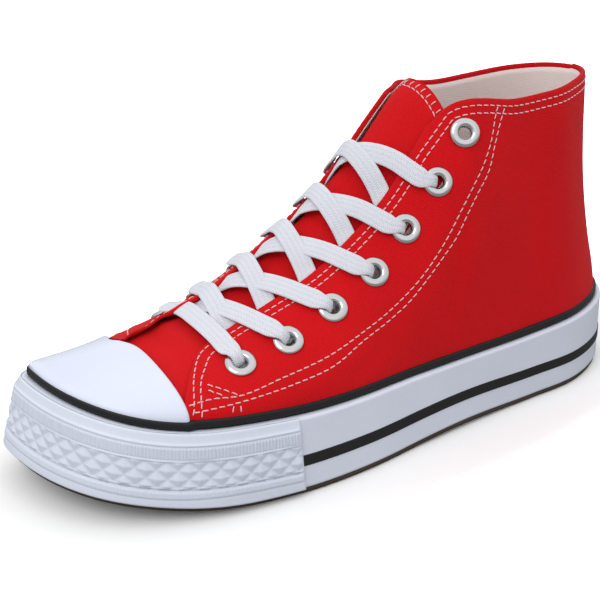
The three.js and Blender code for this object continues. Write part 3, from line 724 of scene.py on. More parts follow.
@dataclass
class Quarters:
    """The two quarters as one sheet round the heel, turned over at facings and collar."""

    front: float = 98.5
    pitch: float = 0.9
    rows: int = 62  # up the outer face
    skirt: int = 6  # rows below them, inside the sole wall
    roll: int = 9
    hem: float = 2.2
    holes: float = 2.9

    def sheet(self) -> tuple[Array, Array]:
        """Closed sheet: outer face, half-round edge, inner face, one loop for each column.

        Returns:
            Points by column and row, and cloth coordinates.
        """
        points = np.concatenate([self.loop(CLOTH.columns(side, self.front, self.pitch), side)
                                 for side in (1, -1)])
        outer = self.skirt + self.rows + 1
        base = distances(points[:, self.skirt])
        up = distances(points[:, :outer], 1)
        flat = np.zeros(points.shape[:2] + (2,))
        flat[..., 0] = base[:, None]
        flat[:, :outer, 1] = up
        back = np.linspace(0, 1, points.shape[1] - outer)[None] * up[:, -1:]
        flat[:, outer:, 1] = up[:, -1:] - back
        return points, flat

    def loop(self, turn: Array, side: int) -> Array:
        """Section loops: wall, outer face, roll, and the inner face with its step at the hem."""
        edge = CLOTH.edge(turn, side)
        wall = side * np.linspace(2, 1, self.skirt + 1)[:-1]
        x = LAST.x_of(turn)
        rise = np.linspace(0, 1, self.rows + 1)
        v = side + (edge[:, None] - side) * rise[None]
        v = np.concatenate([np.repeat(wall[None], len(turn), 0), v], 1)
        outer = CLOTH.face(turn[:, None], v, CLOTH.outer)
        deep = CLOTH.outer - CLOTH.folded + (CLOTH.folded - CLOTH.ply) * ease((x - 76) / 8)
        top = outer[:, -1]
        out = LAST.normal(turn, edge)
        run = unit(np.gradient(top, axis=0))
        away = unit(np.cross(run, out))
        below = LAST.at(turn, edge * 0.97, 0) - LAST.at(turn, edge, 0)
        away *= np.sign((away * below).sum(-1, keepdims=True))
        radius = (CLOTH.outer - deep)[:, None, None] / 2
        phi = np.linspace(0, np.pi, self.roll + 2)[1:-1][None, :, None]
        roll = (top - out * radius[:, 0])[:, None] + radius * (
            np.cos(phi) * out[:, None] + 1.15 * np.sin(phi) * away[:, None])
        girth = np.maximum(np.linalg.norm(outer[:, -1] - outer[:, self.skirt], axis=-1), 1)
        share = np.clip(np.array([0.0, 0.5, 1.0, 1.4])[None] * self.hem / girth[:, None], 0, 0.9)
        back = np.concatenate([share, np.linspace(share[:, -1], 1, 22).T[:, 1:]], 1)
        v_in = edge[:, None] + (side - edge[:, None]) * back
        v_in = np.concatenate([v_in, np.repeat(wall[::-1][None], len(turn), 0)], 1)
        depth = np.full(v_in.shape, CLOTH.outer - CLOTH.ply)
        depth[:, :3] = deep[:, None]
        inner = CLOTH.face(turn[:, None], v_in, depth)
        return np.concatenate([outer, roll, inner], 1)

    def build(self) -> bpy.types.Object:
        """Sheet with its fourteen eyelet holes cut."""
        piece = make_sweep("quarters", *self.sheet())
        cut_holes(piece, self.holes)
        return dress(piece, finish(Finish.RED), "canvas", "upper")


@dataclass
class Lining:
    """Plain canvas lining of the quarters, inside from the collar to the insole."""

    front: float = 73.0
    pitch: float = 1.8
    rows: int = 34
    ply: float = 0.8
    holes: float = 2.9
    peek: float = 1.5

    def build(self) -> bpy.types.Object:
        """Closed sheet between the quarters' ply and the foot, its top edge just under the hem."""
        loops = []
        for side in (1, -1):
            turn = CLOTH.columns(side, self.front, self.pitch)
            edge = CLOTH.edge(turn, side)
            girth = np.linalg.norm(LAST.at(turn, edge) - LAST.at(turn, side), axis=-1)
            x = LAST.x_of(turn)
            hem = 0.9 - ease((x + 30) / 5) * (self.peek + (1.2 if side < 0 else 0)
                                              * ease((8 - x) / 10))
            top = edge + (side - edge) * np.clip(hem / girth, -0.5, 0.5)
            v = top[:, None] + (side - top[:, None]) * np.linspace(0, 1, self.rows)[None]
            v = np.concatenate([v, np.repeat(side * np.linspace(1, 2, 6)[None, 1:],
                                             len(turn), 0)], 1)
            under_hem = CLOTH.outer - CLOTH.folded - 0.06
            thin = np.full(v.shape, under_hem)
            thin[:, 3:] = CLOTH.outer - CLOTH.ply - 0.1
            out = CLOTH.face(turn[:, None], v, thin)
            back = CLOTH.face(turn[:, None], v, under_hem - self.ply / 2)
            loops.append(np.concatenate([out, back[:, ::-1]], 1))
        points = np.concatenate(loops)
        marks = np.zeros(points.shape[:2] + (2,))
        marks[..., 0] = distances(points[:, self.rows])[:, None]
        marks[..., 1] = distances(points, 1)
        piece = make_sweep("lining", points, marks)
        cut_holes(piece, self.holes)
        return dress(piece, finish(Finish.LINING), "lining")


@dataclass
class Vamp:
    """Vamp and tongue, one sheet from under the toe cap to the top of the tongue."""

    top: float = -31.7
    front: float = 116.0
    half: tuple[float, float] = (27.0, -23.0)
    depth: tuple[float, float] = (-3.5, -0.98)  # under the last's face: tongue, vamp
    ply: float = 1.25
    across: int = 110
    rows: int = 300

    def spread(self, turn: Array) -> tuple[Array, Array]:
        """`v` of both sides: narrow as the tongue behind, and down to the sole in front."""
        x = LAST.x_of(turn)
        wide = ease((x - 72) / 18)
        sides = [LAST.v_of_y(turn, np.full(turn.shape, y)) for y in self.half]
        return (sides[0] + (1.25 - sides[0]) * wide, sides[1] + (-1.25 - sides[1]) * wide)

    def sink(self, x: Array, w: Array) -> Array:
        """Depth under the face, from the tongue's to the vamp's, with the tongue's soft waves."""
        deep = self.depth[0] + (self.depth[1] - self.depth[0]) * ease((x - 62) / 22)
        loose = ease((66 - x) / 10)
        waves = 0.35 * np.sin(x / 7.5 + 2.2 * w) + 0.25 * np.sin(x / 4.1 - 3 * w + 1)
        return deep + loose * (waves + 0.7 * np.exp(-((x + 28) / 10) ** 2) * (1 - w * w))

    def build(self) -> bpy.types.Object:
        """Closed sheet: upper face, half-round sides, lower face."""
        turn = LAST.turn_of(np.linspace(self.top, self.front, self.rows))
        low, high = self.spread(turn)
        w = np.linspace(-1, 1, self.across)
        v = low[:, None] + (high - low)[:, None] * (w[None] + 1) / 2
        x = LAST.x_of(turn)[:, None]
        sink = self.sink(x, w[None]) + CLOTH.soft(turn[:, None], v) * ease((x - 70) / 10)
        upper = LAST.at(turn[:, None], v, sink)
        lower = LAST.at(turn[:, None], v, sink - self.ply)
        points = np.concatenate([upper, lower[:, ::-1]], 1)
        marks = np.zeros(points.shape[:2] + (2,))
        marks[..., 0] = distances(points[:, self.across // 2])[:, None]
        girth = distances(upper, 1)
        marks[:, :self.across, 1] = girth - girth[:, self.across // 2][:, None]
        marks[:, self.across:, 1] = marks[:, :self.across, 1][:, ::-1]
        return dress(make_sweep("vamp_and_tongue", points, marks), finish(Finish.RED), "canvas",
                     "tongue")


# ---------------------------------------------------------------- eyelets and holes

def eyelet_places() -> list[tuple[str, Array, Array]]:
    """Name, centre and outward direction of each eyelet, from the toe upwards."""
    places = []
    for i, (*lateral, x_inner, z_inner) in enumerate(EYELETS, 1):
        for side, (x, z) in ((Side.LATERAL, lateral), (Side.MEDIAL, (x_inner, z_inner))):
            turn = LAST.turn_of(np.array([x]))
            v = side.value * LAST.v_of_z(turn, np.array([float(z)]))
            places.append((f"eyelet_{side.name.lower()}_{i}", CLOTH.face(turn, v, CLOTH.outer)[0],
                           LAST.normal(turn, v)[0]))
    return places


def frame_of(out: Array) -> tuple[Array, Array]:
    """Two directions at right angles to `out`, the first as near to +X as can be."""
    first = unit(np.array([1.0, 0, 0]) - out * out[0])
    return first, np.cross(out, first)


def cut_holes(piece: bpy.types.Object, radius: float) -> None:
    """Cuts the eyelet holes through a sheet: round bars along each eyelet's own axis.

    Args:
        piece: Sheet to cut.
        radius: Radius of the holes.
    """
    count, rings = 28, []
    phi = np.linspace(0, 2 * np.pi, count, endpoint=False)[:, None]
    for _, centre, out in eyelet_places():
        a, b = frame_of(out)
        ring = centre + radius * (np.cos(phi) * a + np.sin(phi) * b)
        rings += [ring - 4 * out, ring + 3 * out]
    points = np.concatenate(rings)
    mesh = bpy.data.meshes.new("cutter")
    faces: list[list[int]] = []
    for k in range(0, len(rings), 2):
        low, high = k * count, (k + 1) * count
        faces += [[low + j, low + (j + 1) % count, high + (j + 1) % count, high + j]
                  for j in range(count)]
        faces += [list(range(low, low + count))[::-1], list(range(high, high + count))]
    mesh.from_pydata(((points - CENTRE) * MM).tolist(), [], faces)
    cutter = bpy.data.objects.new("cutter", mesh)
    bpy.context.scene.collection.objects.link(cutter)
    cut = piece.modifiers.new("holes", "BOOLEAN")
    cut.operation, cut.solver, cut.object = "DIFFERENCE", "EXACT", cutter
    graph = bpy.context.evaluated_depsgraph_get()
    whole = bpy.data.meshes.new_from_object(piece.evaluated_get(graph))
    piece.modifiers.clear()
    old, piece.data = piece.data, whole
    bpy.data.meshes.remove(old)
    bpy.data.objects.remove(cutter)
    bpy.data.meshes.remove(mesh)


@dataclass
class Eyelet:
    """Rolled two-part eyelet: domed flange, barrel through the cloth, clinched back."""

    sides: int = 56
    profile: tuple[tuple[float, float], ...] = (  # radius and height over the cloth
        (2.45, -2.4), (2.42, -1.2), (2.42, -0.2), (2.55, 0.35), (2.85, 0.75), (3.3, 1.08),
        (3.9, 1.22), (4.6, 1.16), (5.3, 0.92), (5.75, 0.55), (5.95, 0.2), (5.87, 0.02),
        (5.6, 0.02), (4.2, 0.04), (3.2, 0.04), (2.82, -0.1), (2.78, -1.2), (2.78, -2.35),
        (3.1, -2.5), (4.1, -2.45), (4.3, -2.7), (4.0, -3.0), (3.2, -3.1), (2.7, -2.9))

    def build(self) -> None:
        """Revolves the profile about each eyelet's axis."""
        r, h = np.array(self.profile).T
        phi = np.linspace(0, 2 * np.pi, self.sides, endpoint=False)[:, None, None]
        for name, centre, out in eyelet_places():
            a, b = frame_of(out)
            radius, height = r[None, :, None], h[None, :, None]
            points = centre + radius * (np.cos(phi) * a + np.sin(phi) * b) + height * out
            piece = make_mesh("ring_" + name[7:], points.reshape(-1, 3),
                              quads(self.sides, len(r), True, True))
            dress(piece, finish(Finish.METAL), "eyelet", name)


# ---------------------------------------------------------------- sole

@dataclass
class Sole:
    """Sizes that the pieces of the sole share."""

    gap: float = 0.3
    core: float = 7.0
    under: float = 2.2
    piping: float = 3.2
    stripe: tuple[float, float] = (9.0, 13.2)  # heights of the black stripe over the foot
    start: float = 0.715  # share of the length where the toe bumper begins
    bumper: float = 2.0

    def wall(self, share: Array, rise: Array) -> Array:
        """How far the side wall stands out: its thickness plus a flare growing downwards.

        Args:
            share: Share of the shoe's length.
            rise: 0 at the wall's foot and 1 at its top.

        Returns:
            Distance out from the outline, the flare being times (1-rise)(0.8 + 0.2(1-rise)).
        """
        return SOLE[2](share) + SOLE[3](share) * (1 - rise) * (0.8 + 0.2 * (1 - rise))

    def levels(self, share: Array) -> tuple[Array, Array]:
        """Bottom and top of the side wall under the piping."""
        return LAST.foot(share) + self.gap, SOLE[1](share) - self.piping

    def around(self, pitch: float, first: float = 0.0) -> tuple[Array, Array]:
        """Turns and sides once round the outline from the lateral side over the toe.

        Args:
            pitch: Rough spacing in millimetres.
            first: Share of the length where both sides begin.

        Returns:
            Turns, and 1 or -1 for each.
        """
        begin = float(turn_at(first))
        turn = np.linspace(begin, 1, 3000)
        walked = distances(LAST.ring(turn, 1, 4, 10))
        even = np.interp(np.linspace(0, walked[-1], int(walked[-1] / pitch)), walked, turn)
        back = even[::-1][1:] if first else even[::-1][1:-1]
        return np.concatenate([even, back]), np.repeat([1, -1], [len(even), len(back)])

    def sweep(self, turn: Array, side: Array, grow: Array, z: Array) -> Array:
        """Grid of points: one profile of (grow, z) for each place round the outline."""
        hands = [LAST.ring(turn[:, None], hand, grow, z) for hand in (1, -1)]
        return np.where((side > 0)[:, None, None], *hands)


SOLE_SIZES = Sole()


def band_marks(points: Array) -> Array:
    """Coordinates round and across a band, in millimetres."""
    return np.stack(np.broadcast_arrays(distances(points)[:, :1], distances(points, 1)),
                    -1).reshape(-1, 2)


@dataclass
class Foxing:
    """White rubber wall round the whole sole, with a black stripe let in along its lower part."""

    sizes: Sole = field(default_factory=Sole)
    pitch: float = 1.3
    tuck: float = 0.012  # share of the length that the stripe runs on under the toe bumper

    def shell(self, low: Array, high: Array, turn: Array, side: Array, out: float,
              depth: float, round_off: float) -> Array:
        """Points of a strip of the wall between two rises, standing out from it by `out`.

        Args:
            low: Rise at the strip's lower edge, for each place.
            high: Rise at its upper edge.
            turn: Places.
            side: Sides of those places.
            out: How far it stands out from the wall.
            depth: How far its back lies inside the wall's face; 0 for a back at the outline.
            round_off: Radius of its long edges.

        Returns:
            Grid of profile loops.
        """
        share = along(turn)[:, None]
        bottom, top = self.sizes.levels(share)
        phi = np.linspace(0, np.pi / 2, 6)
        rise = np.linspace(0, 1, 22)[None, 1:-1]
        tall = (high - low)[:, None] * (top - bottom)
        corner = round_off * (1 - np.sin(phi))[None] / tall
        rise = np.repeat(rise, len(turn), 0)
        s = np.concatenate([corner, rise, 1 - corner[:, ::-1]], 1)
        s = np.sort(np.clip(s, 0, 1), 1)
        near = np.minimum(s, 1 - s) * tall / round_off
        dip = round_off * (1 - np.sqrt(np.clip(1 - (1 - np.clip(near, 0, 1)) ** 2, 0, 1)))
        up = low[:, None] + (high - low)[:, None] * s
        grow = self.sizes.wall(share, up) + out - dip
        ends = up[:, [-1, 0]]
        back = self.sizes.wall(share, ends) - depth if depth > 0 \
            else np.full(ends.shape, self.sizes.gap)
        grow, up = np.concatenate([grow, back], 1), np.concatenate([up, ends], 1)
        return self.sizes.sweep(turn, side, grow, bottom + (top - bottom) * up)

    def build(self) -> None:
        """Wall all round, and the stripe that ends under the toe bumper."""
        turn, side = self.sizes.around(self.pitch)
        flat = np.zeros(len(turn))
        wall = self.shell(flat, flat + 1, turn, side, 0.0, 0.0, 1.1)
        piece = make_sweep("foxing_wall", wall, band_marks(wall), ring=True)
        dress(piece, finish(Finish.WHITE), "rubber", "foxing")
        half = turn_at(np.array([self.sizes.start + self.tuck]))[0]
        even = np.linspace(0, half, 190)
        turn = np.concatenate([even[::-1], even[1:]])
        side = np.repeat([1, -1], [len(even), len(even) - 1])
        bottom, top = self.sizes.levels(along(turn))
        low, high = ((s - self.sizes.gap) / (top - bottom) for s in self.sizes.stripe)
        strip = self.shell(low, high, turn, side, 0.32, 1.0, 0.3)
        piece = make_sweep("foxing_stripe", strip, band_marks(strip))
        dress(piece, finish(Finish.BLACK), "stripe")


@dataclass
class Piping:
    """Black rubber line where the wall meets the cloth; in front it lies over the cap's edge."""

    sizes: Sole = field(default_factory=Sole)
    pitch: float = 1.2
    thick: float = 1.25
    over: float = 1.2

    def build(self) -> bpy.types.Object:
        """Rounded strip swept round the outline, thicker over the cap with a short shoulder."""
        turn, side = self.sizes.around(self.pitch)
        share = along(turn)[:, None]
        x = LAST.length * (share - 0.5)
        cap = ease((x - 94.4) / 2.5)
        out = self.thick + self.over * cap + 0.5 * np.exp(-((x - 96.4) / 1.6) ** 2)
        top = SOLE[1](share) + 0.25
        phi = np.linspace(-0.5, 0.5, 11)[None] * np.pi
        power = 0.45
        swell = np.cos(phi) ** power
        rise = np.sign(np.sin(phi)) * np.abs(np.sin(phi)) ** power
        middle, half = top - self.sizes.piping / 2, self.sizes.piping / 2 + 0.15
        grow = np.concatenate([-0.3 + (out + 0.3) * swell, -0.6 + 0 * out, -0.6 + 0 * out], 1)
        z = np.concatenate([middle + half * rise, middle + half, middle - half], 1)
        points = self.sizes.sweep(turn, side, grow, z)
        piece = make_sweep("piping_line", points, band_marks(points), ring=True)
        return dress(piece, finish(Finish.BLACK), "stripe", "piping")


@dataclass
class Bumper:
    """Moulded strip round the toe: ribs, diamond points, dashes and fine ribs between rims."""

    sizes: Sole = field(default_factory=Sole)
    pitch: float = 0.36
    rows: int = 84
    diamond: float = 7.6
    rib: float = 1.3

    def relief(self, length: Array, down: Array) -> Array:
        """Height of the moulding over the strip's face.

        Args:
            length: Place along the strip in millimetres.
            down: Distance below the strip's top edge in millimetres.

        Returns:
            Height in millimetres: a rim, ruled ribs, then diamonds whose height falls off with
            the larger of two slanting saw-tooth distances, a broken groove and faint ribs.
        """
        def zone(start: float, stop: float, soft: float = 0.3) -> Array:
            """One between two distances down, with soft edges."""
            return ease((down - start) / soft) * ease((stop - down) / soft)

        comb = (0.5 + 0.5 * np.cos(2 * np.pi * length / self.rib)) ** 0.8
        s, t = length / self.diamond + down / 6.4, length / self.diamond - down / 6.4
        point = 1 - np.maximum(np.abs(2 * (s % 1) - 1), np.abs(2 * (t % 1) - 1))
        dash = ease((np.cos(2 * np.pi * length / 7.0) + 0.25) / 0.35)
        return (0.5 * zone(2.9, 4.2, 0.6) + 0.55 * comb * zone(4.4, 8.9, 0.5)
                + 0.62 * zone(8.9, 9.6, 0.2) + 0.95 * point * zone(9.5, 19.0, 0.4)
                + 0.4 * zone(19.0, 19.6, 0.2) - 1.3 * dash * zone(19.55, 20.25, 0.2)
                + (0.25 + 0.28 * comb) * zone(20.3, 23.6, 0.8) + 0.12 * zone(23.4, 60.0, 1.0))

    def build(self) -> bpy.types.Object:
        """Closed strip: moulded face, rolled edges and a plain back, both ends rounded off."""
        turn, side = self.sizes.around(self.pitch, self.sizes.start)
        share = along(turn)[:, None]
        bottom, top = self.sizes.levels(share)
        tall = top - bottom
        rise = 1 - np.linspace(0.0, 1.0, self.rows)[None]
        face = self.sizes.sweep(turn, side, self.sizes.wall(share, rise) + self.sizes.bumper,
                                bottom + tall * rise)
        length = distances(face)[:, self.rows // 3][:, None]
        down = (1 - rise) * tall
        end = np.minimum(length, length[-1] - length)
        edge = np.minimum(np.minimum(down, tall - down), end + 0.001)
        swell = np.sqrt(np.clip(1 - (1 - np.clip(edge / 1.1, 0, 1)) ** 2, 0, 1)) \
            * (0.25 + 0.75 * ease(down / 5.0))
        relief = self.relief(length - length[-1] / 2, down) * ease((end - 0.6) / 1.0)
        grow = self.sizes.wall(share, rise) + 0.1 + (self.sizes.bumper - 0.6) * swell + relief
        grow = np.concatenate([grow, self.sizes.wall(share, rise[:, -1:]) - 0.6,
                               self.sizes.wall(share, rise[:, :1]) - 0.6], 1)
        z = bottom + tall * np.concatenate([rise + 0 * tall, 0 * tall, 0 * tall + 1], 1)
        points = self.sizes.sweep(turn, side, grow, z)
        piece = make_sweep("toe_strip", points, band_marks(points))
        return dress(piece, finish(Finish.WHITE), "rubber", "toe_bumper")


@dataclass
class Slab:
    """Flat piece across the shoe between its two outlines: outsole or insole."""

    stations: int = 260
    across: int = 60

    def grid(self, grow: Callable, shape: Callable) -> Array:
        """Points across the shoe at each station: `grow` gives how far outside the outline they
        begin from the share of the length, and `shape` their heights."""
        turn = turn_at(np.linspace(1e-5, 1 - 1e-5, self.stations) * 0.998 + 0.001)
        a = LAST.ring(turn, 1, grow(along(turn)), 0.0)
        b = LAST.ring(turn, -1, grow(along(turn)), 0.0)
        w = np.linspace(0, 1, self.across)[None, :, None]
        points = a[:, None] * (1 - w) + b[:, None] * w
        points[..., 2] = shape(along(turn)[:, None], points[..., 0], points[..., 1], w[..., 0])
        return points


@dataclass
class Outsole(Slab):
    """Brown rubber tread: chevron grooves under heel and ball, flat between them."""

    groove: float = 1.2
    pitch: float = 5.2

    def tread(self, share: Array, x: Array, y: Array, w: Array) -> Array:
        """Height of the underside: grooves run as a saw-tooth wave and stop short of the edge."""
        run = (x + 0.16 * np.abs(y) + 1.3 * np.cos(y / 2.1)) / self.pitch
        cut = ease((0.5 - np.abs(2 * (run % 1) - 1)) / 0.16)
        where = ease((x + 120) / 3) * ease((-48 - x) / 3) + ease((x - 2) / 3) * ease((92 - x) / 3)
        rim = ease((np.minimum(w, 1 - w) - 0.07) / 0.012)
        edge = np.clip(1 - np.minimum(w, 1 - w) / 0.02, 0, 1) ** 2
        return LAST.foot(share) - SOLE_SIZES.under + self.groove * cut * where * rim + 0.6 * edge

    def build(self) -> bpy.types.Object:
        """Closed slab of the treaded underside and a plain top."""
        def grow(s: Array) -> Array:
            """Just inside the foot of the wall."""
            return SOLE[2](s) + SOLE[3](s) - 0.7

        low = self.grid(grow, self.tread)
        high = self.grid(grow, lambda s, x, y, w: LAST.foot(s) + 0.1 + 0 * x)
        piece = make_sweep("tread", np.concatenate([low, high[:, ::-1]], 1))
        dress(piece, finish(Finish.TREAD), "gum", "outsole")
        return self.core()

    def core(self) -> bpy.types.Object:
        """Filler between the tread and the insole, inside the wall."""
        low = self.grid(lambda s: 0 * s - 0.1, lambda s, x, y, w: LAST.foot(s) + 0.2 + 0 * x)
        high = low.copy()
        high[..., 2] += SOLE_SIZES.core - 0.4
        piece = make_sweep("sole_filler", np.concatenate([low, high[:, ::-1]], 1))
        return dress(piece, finish(Finish.TREAD), "gum")


@dataclass
class Insole(Slab):
    """Cloth-faced insole, cupped a little at the heel, rounded at its edge."""

    thick: float = 3.2
    inset: float = 2.3

    def build(self) -> bpy.types.Object:
        """Closed slab; the edge turns down over its last two millimetres."""
        def grow(s: Array) -> Array:
            """Inside the lining all round."""
            return 0 * s - self.inset

        def upper(share: Array, x: Array, y: Array, w: Array) -> Array:
            """Height of the top face."""
            edge = np.clip(1 - np.minimum(w, 1 - w) / 0.03, 0, 1) ** 2
            cup = 0.9 * (2 * w - 1) ** 2 * ease((0.3 - share) / 0.3)
            return LAST.foot(share) + SOLE_SIZES.core + 0.3 + self.thick + cup - 1.0 * edge

        low = self.grid(grow, lambda s, x, y, w: LAST.foot(s) + SOLE_SIZES.core + 0.3 + 0 * x)
        high = self.grid(grow, upper)
        points = np.concatenate([low, high[:, ::-1]], 1)
        return dress(make_sweep("footbed", points, points[..., :2]), finish(Finish.SOCK), "lining",
                     "insole")


@dataclass
class ToeCap:
    """Smooth rubber cap over the toe, rolled at its curved back edge."""

    out: float = 1.75
    under: float = 0.35
    back: float = 96.6
    crown: float = 4.5
    axis: float = -16.0
    spread: float = 9.5
    rows: int = 90
    across: int = 150
    roll: int = 7
    heart: tuple[float, float, float] = (106.0, -14.0, 30.0)  # normals at the tip point away from it
    tip: float = 0.99993  # turn where the cap's lines across all end, just short of the tip
    lip: float = 0.55  # how much thinner the cap is at its back edge
    sunk: tuple[float, float, float] = (3.5, 0.0, 2.0)  # how much deeper its back lies at the tip

    def build(self) -> bpy.types.Object:
        """Closed shell from the back edge forward, each line across running down to the wall."""
        v = np.linspace(-1.12, 1.12, self.across)
        start = np.full(v.shape, float(turn_at(0.87)))
        for _ in range(12):
            p = LAST.skin(start, v)
            edge = self.back + self.crown * np.exp(-((p[:, 1] - self.axis) / self.spread) ** 2)
            start = turn_at(along(start) + (edge - p[:, 0]) / LAST.length)
        rise = np.linspace(0, 1, self.rows)[:, None]
        turn = start[None] + (self.tip - start)[None] * rise ** 1.25
        out = np.full(turn.shape, self.out)
        gap = distances(LAST.at(turn, v[None], self.out))
        out -= self.lip * (1 - np.sqrt(1 - (1 - np.clip(gap / 1.3, 0, 1)) ** 2))
        near_tip = ease((rise[..., None] - 0.74) / 0.2)
        face, normal = LAST.skin(turn, v[None]), LAST.normal(turn, v[None])
        normal = unit(normal + near_tip * (unit(face - np.array(self.heart)) - normal))
        outer = face + normal * out[..., None]
        lip = outer[:1]
        normal = LAST.normal(start, v)
        run = unit(outer[1] - outer[0])
        radius = (self.out - self.lip - self.under) / 2
        phi = np.linspace(0, np.pi, self.roll + 2)[1:-1][::-1][:, None, None]
        roll = lip - normal * radius + radius * (np.cos(phi) * normal - 0.9 * np.sin(phi) * run)
        inner = LAST.at(turn, v[None], self.under) - near_tip * np.array(self.sunk)
        points = np.concatenate([inner[::-1], roll, outer])
        columns = points.transpose(1, 0, 2)
        return dress(make_sweep("cap", columns, band_marks(columns)), finish(Finish.CAP), "rubber",
                     "toe_cap")


# ---------------------------------------------------------------- lace

@dataclass
class Lace:
    """One flat lace: a bar through the lowest pair of eyelets, then crossings up to the sixth."""

    wide: float = 8.0
    thick: float = 1.15
    narrow: float = 4.6
    sides: int = 28
    pitch: float = 0.75
    bow: float = 0.12

    def surface(self, x: Array, y: Array) -> tuple[Array, Array]:
        """Point and normal of the bare last over plan points, bridging the throat."""
        turn = LAST.turn_of(x)
        v = LAST.v_of_y(turn, np.asarray(y))
        return LAST.skin(turn, v), LAST.normal(turn, v)

    def ribbon(self, name: str, path: Array, out: Array, width: Array, bow: float,
               *nodes: str) -> bpy.types.Object:
        """Flat strip along a path.

        Args:
            name: Object name.
            path: Centre line.
            out: Direction that its face looks in, at each point.
            width: Width at each point.
            bow: How much the face is arched across, in millimetres.
            nodes: Frame nodes that it stands for.

        Returns:
            The piece; its section is a super-ellipse of power 3.
        """
        run = unit(np.gradient(path, axis=0))
        up = unit(out - run * (out * run).sum(-1, keepdims=True))
        across = np.cross(run, up)
        phi = np.linspace(0, 2 * np.pi, self.sides, endpoint=False)
        c = np.sign(np.cos(phi)) * np.abs(np.cos(phi)) ** 0.62
        s = np.sign(np.sin(phi)) * np.abs(np.sin(phi)) ** 0.62
        half = width[:, None, None] / 2
        thick = self.thick * (1 + 0.35 * (1 - width / self.wide))[:, None, None] / 2
        ends = np.clip(np.minimum(np.arange(len(path)), np.arange(len(path))[::-1]) / 1.5, 0, 1)
        round_off = np.sqrt(1 - (1 - ends) ** 2).clip(0.15)[:, None, None]
        c, s = c[None, :, None], s[None, :, None]
        arch = bow * (1 - c ** 2)
        points = path[:, None] + half * c * across[:, None] * round_off \
            + (thick * s * round_off + arch) * up[:, None]
        marks = np.stack(np.broadcast_arrays(distances(path)[:, None], (half * c)[..., 0]), -1)
        return dress(make_sweep(name, points, marks), finish(Finish.LACE), "lace", *nodes)

    def lay(self, name: str, points: Array, out: Array, both: bool, *nodes: str) -> bpy.types.Object:
        """Strip along a smooth line through points, drawn together where it enters an eyelet.

        Args:
            name: Object name.
            points: Points that the line runs through.
            out: Direction that the strip's face looks in, at each point.
            both: Whether both its ends enter an eyelet from outside, and not only the last one.
            nodes: Frame nodes that it stands for.
        """
        walked = distances(points)
        path = spline(points, int(walked[-1] / self.pitch))
        where = distances(path) / distances(path)[-1] * walked[-1]
        look = unit(np.stack([np.interp(where, walked, out[:, k]) for k in range(3)], -1))
        left = walked[-1] - where
        if both:
            left = np.minimum(left, where)
        width = self.narrow + (self.wide - self.narrow) * ease((left - 4.5) / 7.0)
        return self.ribbon(name, path, look, width, self.bow, *nodes)

    def dive(self, centre: Array, out: Array, away: Array) -> tuple[Array, Array]:
        """Last points of a strip that rolls over an eyelet's flange and goes down its hole.

        Args:
            centre: Eyelet's centre on the cloth.
            out: Eyelet's axis.
            away: Direction the strip comes from, in the cloth's plane.

        Returns:
            Points and the directions the strip's face looks in.
        """
        steps = ((5.4, 1.95, 0.0), (4.0, 2.15, 0.1), (2.7, 1.9, 0.45), (1.7, 1.1, 0.9),
                 (1.0, 0.0, 1.2), (0.7, -1.4, 1.4), (0.8, -3.0, 1.45))
        points = np.array([centre + away * a + out * h for a, h, _ in steps])
        looks = np.array([out * np.cos(t) - away * np.sin(t) for _, _, t in steps])
        return points, looks

    def strand(self, name: str, low: tuple[Array, Array], high: tuple[Array, Array], near: Side,
               edge_x: float, lift: float, *nodes: str) -> bpy.types.Object:
        """Strip from inside the lower eyelet, out under its facing's edge, over to the upper one.

        Args:
            name: Object name.
            low: Centre and axis of the lower eyelet, which it leaves on the inside.
            high: Centre and axis of the upper one, which it enters from outside.
            near: Side of the lower eyelet.
            edge_x: Where it comes out from under the facing.
            lift: Extra height where it crosses the other strip.
            nodes: Frame nodes that it stands for.
        """
        (c0, n0), (c1, n1) = low, high
        edge_y = float(FACING[0 if near is Side.LATERAL else 1](edge_x))
        u = np.linspace(0, 1, 9)
        y_in = edge_y + near.value * 1.0
        start = np.array([edge_x, y_in])
        first = self.surface(*(start[k:k + 1] for k in range(2)))[0][0]
        away = unit((first - c1) - n1 * ((first - c1) @ n1))
        stop = (c1 + away * 7.0)[:2]
        x, y = (start[k] + (stop[k] - start[k]) * u for k in range(2))
        face, normal = self.surface(x, y)
        height = -2.05 + (1.2 + 2.05) * ease(u / 0.34) + lift * np.exp(-((u - 0.5) / 0.2) ** 2)
        height += 0.75 * ease((u - 0.72) / 0.28)
        middle = face + normal * height[:, None]
        tuck = c0 * 0.55 + middle[0] * 0.45 - n0 * 2.6
        begin = c0 - n0 * 3.4
        dive, looks = self.dive(c1, n1, away)
        points = np.concatenate([[begin, tuck], middle[:-1], dive])
        out = np.concatenate([[n0, n0], normal[:-1], looks])
        return self.lay(name, points, out, False, *nodes)

    def bar(self, medial: tuple[Array, Array], lateral: tuple[Array, Array],
            *nodes: str) -> bpy.types.Object:
        """Strip across the vamp that dives into both of the lowest eyelets."""
        (c0, n0), (c1, n1) = medial, lateral
        away0 = unit((c1 - c0) - n0 * ((c1 - c0) @ n0))
        away1 = unit((c0 - c1) - n1 * ((c0 - c1) @ n1))
        first, look0 = self.dive(c0, n0, away0)
        last, look1 = self.dive(c1, n1, away1)
        a, b = (c0 + away0 * 7.5)[:2], (c1 + away1 * 7.5)[:2]
        u = np.linspace(0, 1, 7)
        face, normal = self.surface(*(a[k] + (b[k] - a[k]) * u for k in range(2)))
        middle = face + normal * (1.5 + 0.5 * np.abs(2 * u - 1) ** 2)[:, None]
        points = np.concatenate([first[::-1], middle, last])
        out = np.concatenate([look0[::-1], normal, look1])
        return self.lay("lace_first_bar", points, out, True, *nodes)

